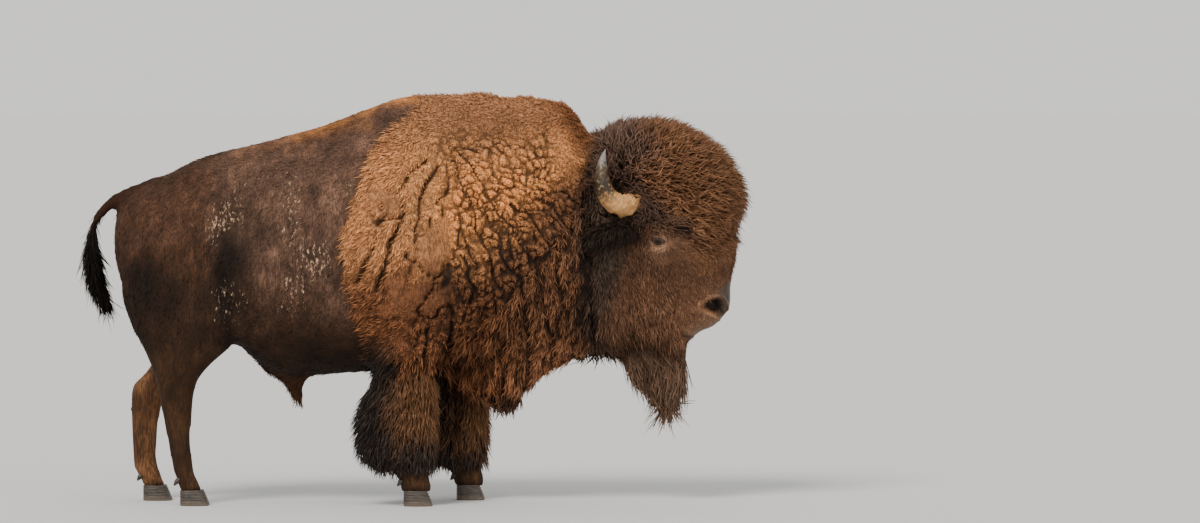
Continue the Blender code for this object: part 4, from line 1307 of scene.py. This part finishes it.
def growCoat(name, kinds, count, rings, material, seed, density=None, clumpSize=0.03, cracks=False):
    # tufts over the skin where these kinds of coat grow: the spine of each is forwards * cos(lift)
    # + outwards * (sin(lift) - bend * step) + a sine to the side, and its tip leans to its clump's middle
    t = tuftShape
    share = np.clip(sum(regions[kind] for kind in kinds), 0, 1)
    crowd = share if density is None else share * density
    fromEye = np.hypot((tips[:, 0] - eyePlace["x"]) / 0.050, (tips[:, 2] - eyePlace["z"] + 0.004) / 0.036)
    crowd = crowd * smoothstep(0.92, 1.12, fromEye)
    crowd = crowd * np.clip(1.15 - crackDepth, 0, 1)
    triangle, corner, rng = scatter(crowd, count, seed)

    def at(values):
        # the skin's values where the tufts stand
        return fromCorners(values, triangle, corner)

    root, tipPlace = at(roots), at(tips)
    normal, lie = unit(at(rootNormals)), at(skinLie)
    lie = unit(flattened(lie, normal))
    numbers = {what: at(blended(regions, what)) for what in coatNumbers[1:]}
    wild = rng.normal(size=(count, 6))
    room = at(coatDepth)
    length = numbers["length"] / 1000 * np.clip(1 + t["length"] * wild[:, 0], 0.45, 1.8)
    width = numbers["width"] / 1000 * np.clip(1 + t["width"] * wild[:, 1], 0.5, 1.6)
    lift = np.radians(numbers["lift"]) * np.clip(1 + t["lift"] * wild[:, 2], 0.2, 1.8)
    across = np.cross(normal, lie)
    swing = t["swing"] * wild[:, 3] + t["drift"] * noise(tipPlace, 0.07, seed + 5)
    lie = unit(lie + across * swing[:, None])
    across = np.cross(normal, lie)
    if cracks:
        # tufts gather on the wool's own plates, and are shorter in cracks and mats and longer at the rear
        crack, middle, own = woolPattern(tipPlace)
        capeShare = at(regions["cape"])
        rear = smoothstep(foreLow[0] + 0.28, foreLow[0] + 0.02, tipPlace[:, 0]) * capeShare
        plated, matted = platedShare(tipPlace) * capeShare, mattedShare(tipPlace)[0]
        c = capeTufts
        length = length * (1 - c["crackShorter"] * crack) * (0.85 + 0.3 * own)
        length = length * (1 + c["rearLonger"] * rear) * (1 - c["plateShorter"] * plated)
        length = length * (1 - c["matShorter"] * matted)
        lift = lift * (1 - c["rearFlatter"] * rear) * (1 - c["matFlatter"] * matted)
        numbers["clump"] = numbers["clump"] * (1 - c["plateLooser"] * plated)
    else:
        wander = noiseVectors(tipPlace, 0.05, seed) * 0.3 * clumpSize
        _, middle, own = cells(tipPlace + wander, clumpSize, seed + 11)
        crack = at(crackDepth)
    if "shag" in kinds:
        foreX = shareOf("forequarters", 0, tipPlace[:, 0])
        length = length * (1 - capeTufts["maneFrontShorter"] * smoothstep(0.75, 1.15, foreX))
    raggedness = t["ragged"] * (kinds[0] in ("bonnet", "chaps", "beard"))
    stray = t["stray"] + raggedness * np.abs(wild[:, 5])
    length = np.minimum(length, 1.05 * room / np.maximum(np.sin(lift) - numbers["bend"], 0.10) + stray)
    gather = flattened(middle, normal) * numbers["clump"][:, None]
    steps = np.linspace(0, 1, rings + 1)[None, :, None]
    phase = 2 * np.pi * rng.random(count)[:, None, None]
    forward = np.cos(lift)[:, None, None] * steps
    outward = np.sin(lift)[:, None, None] * steps - numbers["bend"][:, None, None] * steps ** 2
    curl = numbers["curl"][:, None, None] * np.sin(phase + t["curlTurn"] * steps) * steps
    spine = lie[:, None] * forward + normal[:, None] * outward + across[:, None] * curl
    spine = spine * length[:, None, None] + gather[:, None] * steps ** 1.4
    spine = spine + (root - normal * t["sunk"])[:, None]
    spine[:, :, 2] = np.maximum(spine[:, :, 2], t["lowest"])
    spine[:, :, 1] = np.clip(spine[:, :, 1], cadBox[0][1] - t["pastBox"], cadBox[1][1] + t["pastBox"])
    ahead = unit(np.diff(spine, axis=1))
    side = unit(np.cross(ahead, normal[:, None] + 0.35 * wild[:, None, 3:4] * across[:, None]))
    up = np.cross(side, ahead)
    widths = width[:, None] * np.interp(np.arange(rings) / rings, *t["profile"])[None]
    tint = 1 + tuftColour["spread"] * wild[:, 4] * 0.6 + tuftColour["spread"] * (own - 0.5)
    base = coatColour(tipPlace, normal, {kind: at(values) for kind, values in regions.items()})
    base = base * np.clip(tint, 0.45, 1.7)[:, None]
    # painted shade on tufts in the wool's cracks, creases and under its flaps
    shadow = tuftColour["maneCrack" if "shag" in kinds else "crack"] * crack[:, None]
    rootTone = base * tuftColour["root"] * (1 - shadow)
    tipTone = base * tuftColour["tip"] * (1 - shadow)
    rootMap = (mapValues[skinLoops[triangle]] * corner[:, :, None]).sum(1)
    thick = widths * t["thickness"]
    tufts = tuftMesh(name, spine, side, up, widths, thick, (rootTone, tipTone), rootMap, material)
    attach(tufts, "root")
    print(name + ":", len(tufts.data.polygons), "triangles")


def band(low, high):
    # 1 between two places along the body
    return ((tips[:, 0] >= low) & (tips[:, 0] < high)).astype(float)


rearEnd, frontEnd = cadBox[0][0] - 1, cadBox[1][0] + 1
shoulderBack, neckBack = placeIn("forequarters", 0.474, 0)[0], placeIn("forequarters", 0.916, 0)[0]

# body coat: name, kinds of coat, tufts, first and last place along the body
shortCoats = [
    ("coat_hindquarters", ["body", "shank", "dock"], 10500, rearEnd, hipLine),
    ("coat_barrel", ["body", "shank"], 10000, hipLine, frontEnd),
]
wools = [
    ("wool_back", ["cape"], 15000, rearEnd, shoulderBack),
    ("wool_shoulder", ["cape"], 16000, shoulderBack, neckBack),
    ("wool_neck", ["cape"], 15000, neckBack, frontEnd),
]
# long dark coats: name, kinds of coat, tufts, rings along each tuft, size of a clump
darkCoats = [
    ("bonnet", ["bonnet"], 11500, 3, 0.030),
    ("face_coat", ["face", "cheek", "eye", "muzzle"], 15500, 2, 0.022),
    ("chaps", ["chaps"], 9000, 3, 0.040),
    ("beard_locks", ["beard"], 4000, 4, 0.040),
    ("ear_locks", ["ear"], 1300, 4, 0.03),
    ("tail_switch", ["tuft"], 1700, 4, 0.02),
    ("sheath_locks", ["sheath"], 500, 4, 0.02),
]
for seed, (name, kinds, count, low, high) in enumerate(shortCoats, 101):
    growCoat(name, kinds, count, 2, shortCoatMaterial, seed, band(low, high))
for seed, (name, kinds, count, low, high) in enumerate(wools, 103):
    growCoat(name, kinds, count, 2, woolMaterial, seed, band(low, high), cracks=True)
growCoat("mane", ["shag"], 11000, 3, darkCoatMaterial, 106, cracks=True)
for seed, (name, kinds, count, rings, clumpSize) in enumerate(darkCoats, 107):
    growCoat(name, kinds, count, rings, darkCoatMaterial, seed, clumpSize=clumpSize)

# half length and half height of the lids' opening, and of the ring of skin round it
eyeLook = {
    "opening": (0.0276, 0.0176), "outer": (0.054, 0.038), "tilt": -0.18,
    "around": 72, "rows": 16, "reach": 0.08,
    "ball": (0.085, 0.060, 0.048), "iris": ((0.013, 0.007, 0.004), (0.050, 0.025, 0.012)),
    "pupil": (0.002, 0.002, 0.002), "pupilFlat": 2.3,
}
# how far each lid swells out over the ball, the fold round it, the crease between, and the inner edge
lidRise = {
    "upper": 0.0050, "lower": 0.0034, "both": 0.0022, "upperFold": 0.0030, "lowerFold": 0.0024,
    "crease": 0.0022, "inner": 0.006,
}
sides = {"left": 1, "right": -1}


def ballGrid(radius, around, rows):
    # a sphere about +Z as (points, faces): every ring a row of the grid, poles closed
    theta = np.linspace(0, np.pi, rows + 1)[1:-1]
    phi = np.linspace(0, 2 * np.pi, around, endpoint=False)
    t, f = np.meshgrid(theta, phi, indexing="ij")
    points = radius * np.stack([np.sin(t) * np.cos(f), np.sin(t) * np.sin(f), np.cos(t)], -1).reshape(-1, 3)
    faces = gridFaces(rows - 1, around)[:, ::-1]
    return np.vstack([points, [[0, 0, radius], [0, 0, -radius]]]), closedOver(faces, around, [0, 1, 2])


def gridFaces(rows, around):
    # squares between the rings of a grid that closes around
    r, k = np.meshgrid(np.arange(rows - 1), np.arange(around), indexing="ij")
    a = (r * around + k).ravel()
    b = (r * around + (k + 1) % around).ravel()
    return np.stack([a, b, b + around, a + around], 1)


def closedOver(faces, around, order):
    # a grid's squares split in two, and a fan to each of the two poles, which come after its points;
    # order is how a fan's corners run
    count = faces.max() + 1
    first, last = np.arange(around), count - around
    after = (first + 1) % around
    start = np.stack([np.full(around, count), first, after], 1)
    end = np.stack([np.full(around, count + 1), last + after, last + first], 1)
    return np.vstack([faces[:, [0, 1, 2]], faces[:, [0, 2, 3]], np.vstack([start, end])[:, order]])


def eyeFrame(word):
    # the eye's middle and its three directions: outwards, forwards along the opening, and up
    low, high = boxOf("eye_" + word)
    centre = (low + high) / 2
    near = np.linalg.norm(tips - centre, axis=1) < 0.06
    outward = unit(skinNormals[near].mean(0) + np.array([0.12, 0, 0]))
    centre = centre - eyePlace["setBack"] * outward
    forward = unit(np.array([np.cos(eyeLook["tilt"]), 0, np.sin(eyeLook["tilt"])]))
    forward = unit(forward - outward * (forward @ outward))
    return centre, outward, forward, np.cross(outward, forward) * -sides[word]


def makeEyeMaterial():
    # a wet dark ball: rings about the gaze for the rim of the iris and for the flat pupil
    made, tree, shader = newMaterial("eyeball", 0.12, 0.06)
    shader.inputs["Coat Weight"].default_value = 0.22
    shader.inputs["Coat Roughness"].default_value = 0.03
    uv = tree.nodes.new("ShaderNodeUVMap")
    uv.uv_map = "gaze"
    place = vectorNode(tree, "SUBTRACT", uv.outputs["UV"], (0.5, 0.5, 0.0))
    fromMiddle = vectorNode(tree, "LENGTH", place, output="Value")
    squashed = vectorNode(tree, "MULTIPLY", place, (1.0, eyeLook["pupilFlat"], 1.0))
    fromPupil = vectorNode(tree, "LENGTH", squashed, output="Value")
    fibres = rangeNode(tree, placeNoise(tree, 900.0, 3.0), 0.3, 0.7)
    iris = mixColour(tree, fibres, *eyeLook["iris"])
    ball = mixColour(tree, rangeNode(tree, fromMiddle, 0.335, 0.30), eyeLook["ball"], iris)
    dark = rangeNode(tree, fromPupil, 0.25, 0.19)
    tree.links.new(mixColour(tree, dark, ball, eyeLook["pupil"]), shader.inputs["Base Color"])
    return made


def makeEye(word, gaze, material):
    # a sphere turned outwards, its map laid across it square to the gaze
    centre, outward, _, up = gaze
    points, faces = ballGrid(eyePlace["radius"], 40, 28)
    across = np.cross(up, outward)      # keeps the frame right-handed
    placed = centre + points[:, :1] * across + points[:, 1:2] * up + points[:, 2:] * outward
    eye = meshObject("eyeball_" + word, placed, faces, material)
    front = np.where(points[:, 2] > 0, 1.0, 3.0)
    flat = 0.5 + points[:, :2] / eyePlace["radius"] * 0.5 * front[:, None]
    layer = eye.data.uv_layers.new(name="gaze")
    corners = np.empty(len(eye.data.loops), np.int32)
    eye.data.loops.foreach_get("vertex_index", corners)
    layer.data.foreach_set("uv", flat[corners].astype(np.float32).ravel())
    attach(eye, "root")
    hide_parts("eye_" + word)


def makeLids(word, gaze, tree, material):
    # a ring of skin from the almond opening on the eyeball out to below the coat of the face:
    # height over the eye's middle = the ball at the opening, a swell for each lid, the face outside
    centre, outward, forward, up = gaze
    around, rows, reach = eyeLook["around"], eyeLook["rows"], eyeLook["reach"]
    turn = np.linspace(0, 2 * np.pi, around, endpoint=False)
    c, s = np.cos(turn), np.sin(turn)
    openX = eyeLook["opening"][0] * c
    openY = eyeLook["opening"][1] * np.sign(s) * np.abs(s) ** 1.15
    farX, farY = eyeLook["outer"][0] * c, eyeLook["outer"][1] * s
    starts = centre + farX[:, None] * forward + farY[:, None] * up + outward * reach
    height = np.empty(around)
    for k, start in enumerate(starts.tolist()):
        hit = tree.ray_cast(Vector(start), Vector((-outward).tolist()), 0.2)
        height[k] = reach - hit[3] if hit[0] is not None else 0.0
    ball = eyePlace["radius"] + 0.0006
    t = np.linspace(0, 1, rows)[:, None]
    x = openX + (farX - openX) * t ** 1.1
    y = openY + (farY - openY) * t ** 1.1
    onBall = np.sqrt(np.maximum(ball ** 2 - openX ** 2 - openY ** 2, (0.4 * ball) ** 2))
    ease = smoothstep(0, 1, t)
    h = onBall * (1 - ease) + (height - 0.005) * ease
    upper = np.clip(s, 0, 1)
    lower = np.clip(-s, 0, 1)
    swell = lidRise["upper"] * upper + lidRise["lower"] * lower + lidRise["both"]
    fold = lidRise["upperFold"] * upper + lidRise["lowerFold"] * lower
    h = h + swell * np.sin(np.pi * np.clip(t * 3.2, 0, 1)) * 0.75
    h = h + fold * np.sin(np.pi * np.clip((t - 0.30) / 0.45, 0, 1))
    h = h - lidRise["crease"] * bell(t, 0.33, 0.06)
    inner = h[:1] - lidRise["inner"]
    x, y, h = np.vstack([x[:1], x]), np.vstack([y[:1], y]), np.vstack([inner, h])
    points = centre + x[..., None] * forward + y[..., None] * up + h[..., None] * outward
    faces = gridFaces(rows + 1, around)
    if np.dot(np.cross(forward, up), outward) < 0:
        faces = faces[:, ::-1]
    lids = meshObject("lids_" + word, points.reshape(-1, 3), faces, material)
    row = np.arange(rows + 1).repeat(around)
    tone = np.tile(coatColours["eyeSkin"], ((rows + 1) * around, 1))
    tone = mix(tone, coatColours["lidRim"], bell(row, 4.2, 1.2) * (0.35 + 0.4 * np.tile(lower, rows + 1)))
    # painted shade: a dark ring in the crease between the lid's swell and the fold round it
    tone = mix(tone, coatColours["eyeSkin"] * 0.30, bell(row, 7.0, 1.2) * 0.75)
    tone = mix(tone, coatColours["lidEdge"], bell(row, 0, 1.9) * 0.95)
    corner = (bell(np.arange(rows + 1), 0, 5.0)[:, None] * smoothstep(0.86, 0.98, np.abs(c))).ravel()
    tone = mix(tone, coatColours["eyeCorner"], corner * 0.9)
    colourAttribute(lids, "coat", tone)
    valueAttribute(lids, "bare", np.full(len(tone), 0.45))
    valueAttribute(lids, "mud", np.zeros(len(tone)))
    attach(lids, "root")


skinTree = BVHTree.FromPolygons(roots.tolist(), skinCorners.tolist())
eyeMaterial = makeEyeMaterial()
for word in sides:
    gaze = eyeFrame(word)
    makeEye(word, gaze, eyeMaterial)
    makeLids(word, gaze, skinTree, hideMaterial)
print("eyes and lids made")

# the horn's middle line from the skull to the tip, as shares of its CAD node's box: length, spread, height
hornShape = {
    "path": [(0.93, -0.20, 0.21), (0.70, 0.17, 0.18), (0.50, 0.47, 0.20), (0.28, 0.70, 0.34),
             (0.18, 0.74, 0.56), (0.18, 0.70, 0.76), (0.22, 0.62, 0.91), (0.26, 0.57, 0.995)],
    "radius": [0.049, 0.051, 0.047, 0.041, 0.033, 0.022, 0.010, 0.0012],
    "rings": 90,
    "around": 48,
    "growthRings": 21,
    "ringRise": 0.0016, "lump": 0.0105, "smallLump": 0.0048, "collar": 0.0030,      # metres
}
hornColours = {
    "base": (0.620, 0.310, 0.100),
    "worn": (0.30, 0.155, 0.07),
    "dark": (0.022, 0.012, 0.004),
    "brown": (0.048, 0.030, 0.013),
    "pale": (0.36, 0.24, 0.12),
    "tip": (0.178, 0.157, 0.154),
}


def smoothPath(rows, count):
    # a Catmull-Rom curve through the rows, read at even steps of its own length
    rows = np.asarray(rows, float)
    padded = np.vstack([2 * rows[0] - rows[1], rows, 2 * rows[-1] - rows[-2]])
    spans = len(rows) - 1
    at = np.linspace(0, spans, 400)
    k = np.minimum(at.astype(int), spans - 1)
    t = (at - k)[:, None]
    p0, p1, p2, p3 = (padded[k + i] for i in range(4))
    bent, twisted = 2 * p0 - 5 * p1 + 4 * p2 - p3, 3 * p1 - p0 - 3 * p2 + p3
    fine = 0.5 * (2 * p1 + (p2 - p0) * t + bent * t ** 2 + twisted * t ** 3)
    length = np.append(0, np.cumsum(np.linalg.norm(np.diff(fine[:, :3], axis=0), axis=1)))
    even = np.linspace(0, length[-1], count)
    return np.stack([np.interp(even, length, fine[:, axis]) for axis in range(fine.shape[1])], 1)


def makeHornMaterial():
    # bands of colour by the way along the horn, their borders broken by noise, over fine scratches
    made, tree, shader = newMaterial("horn", 0.42, 0.32)
    rough = placeNoise(tree, 60.0, 5.0, 0.6)
    fine = placeNoise(tree, 330.0, 4.0, 0.6, (1.0, 1.0, 0.4))
    shift = mathNode(tree, "MULTIPLY", mathNode(tree, "SUBTRACT", rough, 0.5), 0.42)
    wander = mathNode(tree, "ADD", readAttribute(tree, "along", "Fac"), shift)
    # from the skull outwards: yellow base worn in places, dark middle, brown, pale scrapes, grey tip
    colour = hornColours["base"]
    for share, name in (
        (rangeNode(tree, fine, 0.35, 0.68), "worn"),
        (rangeNode(tree, wander, 0.42, 0.54), "dark"),
        (rangeNode(tree, wander, 0.62, 0.74), "brown"),
        (rangeNode(tree, rough, 0.52, 0.64, 0.0, 0.55), "pale"),
        (rangeNode(tree, wander, 0.76, 0.90), "tip"),
    ):
        colour = mixColour(tree, share, colour, hornColours[name])
    uneven = useGroup(tree, unevenGroup, Color=colour, Broad=0.25, Fine=0.35)
    tree.links.new(uneven.outputs["Color"], shader.inputs["Base Color"])
    tree.links.new(rangeNode(tree, wander, 0.35, 0.75, 0.72, 0.36), shader.inputs["Roughness"])
    tree.links.new(bumpNode(tree, mathNode(tree, "ADD", fine, rough), 0.002, 0.6), shader.inputs["Normal"])
    return made


def makeHorn(word, side, material):
    # a tube along the horn's path; radius = taper + growth rings + lumps that fade towards the tip
    h = hornShape
    low, high = boxOf("horn_left")
    middle = (low + np.array(h["path"]) * (high - low)) * (1, side, 1)
    path = smoothPath(np.column_stack([middle, h["radius"]]), h["rings"])
    centre, radius = path[:, :3], path[:, 3]
    ahead = unit(np.gradient(centre, axis=0))
    across = unit(np.cross(ahead, np.array([0.0, side * 1.0, 0.3])))
    over = np.cross(ahead, across)
    turn = np.linspace(0, 2 * np.pi, h["around"], endpoint=False)
    ringDir = np.cos(turn)[None, :, None] * across[:, None] + np.sin(turn)[None, :, None] * over[:, None]
    at = np.linspace(0, 1, h["rings"])
    flat = (centre[:, None] + ringDir * radius[:, None, None]).reshape(-1, 3)
    base = smoothstep(0.50, 0.22, at)
    rings = h["ringRise"] * np.sin(at * 2 * np.pi * h["growthRings"] + 1.5 * noise(centre, 0.05, 71)) * base
    lumps = h["lump"] * noise(flat, 0.028, 72) + h["smallLump"] * noise(flat, 0.010, 73)
    lumps = lumps.reshape(h["rings"], -1) * (0.12 + 0.88 * base)[:, None]
    collar = h["collar"] * bell(at, 0.34, 0.035)
    grow = rings[:, None] + lumps + collar[:, None] - 0.0035 * base[:, None]
    reach = radius[:, None] * 0.985 + grow * np.minimum(1, radius / 0.02)[:, None]
    grid = centre[:, None] + ringDir * reach[:, :, None]
    poles = [centre[:1] - ahead[:1] * 0.004, centre[-1:] + ahead[-1:] * 0.001]
    points = np.vstack([grid.reshape(-1, 3), *poles])
    triangles = closedOver(gridFaces(h["rings"], h["around"]), h["around"], [0, 2, 1])
    a, b, c = (points[triangles[:, i]] for i in range(3))
    if np.einsum("ij,ij->i", a, np.cross(b, c)).sum() < 0:
        triangles = triangles[:, ::-1]
    horn = meshObject("horn_sheath_" + word, points, triangles, material)
    valueAttribute(horn, "along", np.append(np.repeat(at, h["around"]), [0.0, 1.0]))
    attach(horn, "root")
    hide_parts("horn_" + word)


hornMaterial = makeHornMaterial()
for word, side in sides.items():
    makeHorn(word, side, hornMaterial)
print("horns made")

hoofLook = {
    "voxel": {"hoof": 0.0042, "dewclaw": 0.003}, "smoothing": 3, "ring": 0.012, "ringRise": 0.0012,
    "dark": (0.020, 0.015, 0.012), "light": (0.055, 0.042, 0.032),
    "dust": (0.14, 0.10, 0.07), "dustTop": 0.030,
}
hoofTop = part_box("hoof_fore_left_outer")[1][2]


def makeHoofMaterial():
    # level bands of grey, dusty at the ground
    made, tree, shader = newMaterial("hoof", 0.50, 0.4)
    bands = placeNoise(tree, 160.0, 3.0, 0.55, (0.25, 0.25, 1.6))
    colour = mixColour(tree, rangeNode(tree, bands, 0.35, 0.65), hoofLook["dark"], hoofLook["light"])
    uneven = useGroup(tree, unevenGroup, Color=colour, Broad=0.5, Fine=0.3)
    coordinates = tree.nodes.new("ShaderNodeTexCoord")
    split = tree.nodes.new("ShaderNodeSeparateXYZ")
    tree.links.new(coordinates.outputs["Object"], split.inputs[0])
    dusty = rangeNode(tree, split.outputs["Z"], hoofLook["dustTop"], 0.0, 0.0, 0.6)
    colour = mixColour(tree, dusty, uneven.outputs["Color"], hoofLook["dust"])
    tree.links.new(colour, shader.inputs["Base Color"])
    tree.links.new(bumpNode(tree, bands, 0.002, 0.5), shader.inputs["Normal"])
    return made


def makeClaw(name, cadNames, voxel, material):
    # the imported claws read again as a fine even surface, smoothed, with the soles kept flat
    points, triangles, _ = joinedNodes(cadNames)
    data = remeshed(points, triangles, voxel)
    made, faces, _ = readMesh(data)
    sole = made[:, 2] < 0.0015
    made = evenedOut(made, edgesOf(data), hoofLook["smoothing"])
    made[sole, 2] = 0.0
    made[:, 2] = np.maximum(made[:, 2], 0.0)
    z = made[:, 2]
    rings = hoofLook["ringRise"] * np.sin(z * 2 * np.pi / hoofLook["ring"])
    rings = rings * smoothstep(0.004, 0.012, z) * (1 - smoothstep(hoofTop - 0.008, hoofTop, z))
    setPoints(data, made + pointNormals(made, faces) * rings[:, None])
    claws = smoothPiece(name, data, material)
    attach(claws, "root")
    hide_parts(*cadNames)


hoofMaterial = makeHoofMaterial()
for end in ("fore", "hind"):
    for side in ("left", "right"):
        for kind, many in (("hoof", "hooves"), ("dewclaw", "dewclaws")):
            pair = [f"{kind}_{end}_{side}_{where}" for where in ("outer", "inner")]
            makeClaw(f"{many}_{end}_{side}", pair, hoofLook["voxel"][kind], hoofMaterial)
print("hooves made")

studio = {
    "floor": (0.545, 0.550, 0.555), "reach": 400.0, "corners": 96,
    "world": (1.0, 0.985, 0.96), "worldStrength": 1.0,
    # name, direction it shines from, spread in degrees, strength, colour
    "lights": [
        ("key", (-0.45, -1.0, 1.05), 22.0, 3.3, (1.0, 0.95, 0.88)),
        ("fill", (0.9, -0.9, 0.16), 50.0, 1.15, (1.0, 0.96, 0.91)),
    ],
}


def makeFloor():
    # one wide fan of triangles
    made, tree, shader = newMaterial("pale floor", 0.85, 0.2)
    uneven = useGroup(tree, unevenGroup, Color=studio["floor"], Broad=0.03, Fine=0.03)
    tree.links.new(uneven.outputs["Color"], shader.inputs["Base Color"])
    corners = studio["corners"]
    turn = np.linspace(0, 2 * np.pi, corners, endpoint=False)
    rim = np.stack([np.cos(turn), np.sin(turn), 0 * turn], 1) * studio["reach"]
    k = np.arange(corners)
    fan = np.stack([np.full(corners, corners), k, (k + 1) % corners], 1)
    floor = meshObject("floor", np.vstack([rim, [[0, 0, 0]]]), fan, made)


def makeLights():
    # wide suns, so the light is as even over the floor as over the animal
    for name, place, spread, strength, colour in studio["lights"]:
        data = bpy.data.lights.new(name, "SUN")
        data.angle = np.radians(spread)
        data.energy = strength
        data.color = colour
        addObject(name, data).rotation_euler = (-Vector(place)).to_track_quat("-Z", "Y").to_euler()
    world = bpy.data.worlds.new("studio")
    world.use_nodes = True
    sky = world.node_tree.nodes["Background"]
    sky.inputs["Color"].default_value = (*studio["world"], 1.0)
    sky.inputs["Strength"].default_value = studio["worldStrength"]
    bpy.context.scene.world = world


# from far out to the side, level with the top of the hump; metres across the view, millimetres of sensor
view = {"from": (0.8064, -25.0, 1.80), "to": (0.8064, 0.0, 1.053), "across": 5.232, "sensor": 36.0}


def makeCamera():
    # looks from one place to another; the lens takes in so many metres across at that distance
    data = bpy.data.cameras.new("camera")
    data.sensor_width = view["sensor"]
    start, aim = Vector(view["from"]), Vector(view["to"])
    data.lens = view["sensor"] * (aim - start).length / view["across"]
    data.clip_end = 900.0      # past the floor's rim
    camera = addObject("camera", data)
    camera.location = start
    camera.rotation_euler = (aim - start).to_track_quat("-Z", "Y").to_euler()
    bpy.context.scene.camera = camera


makeFloor()
makeLights()
makeCamera()
print("floor, lights and camera placed")
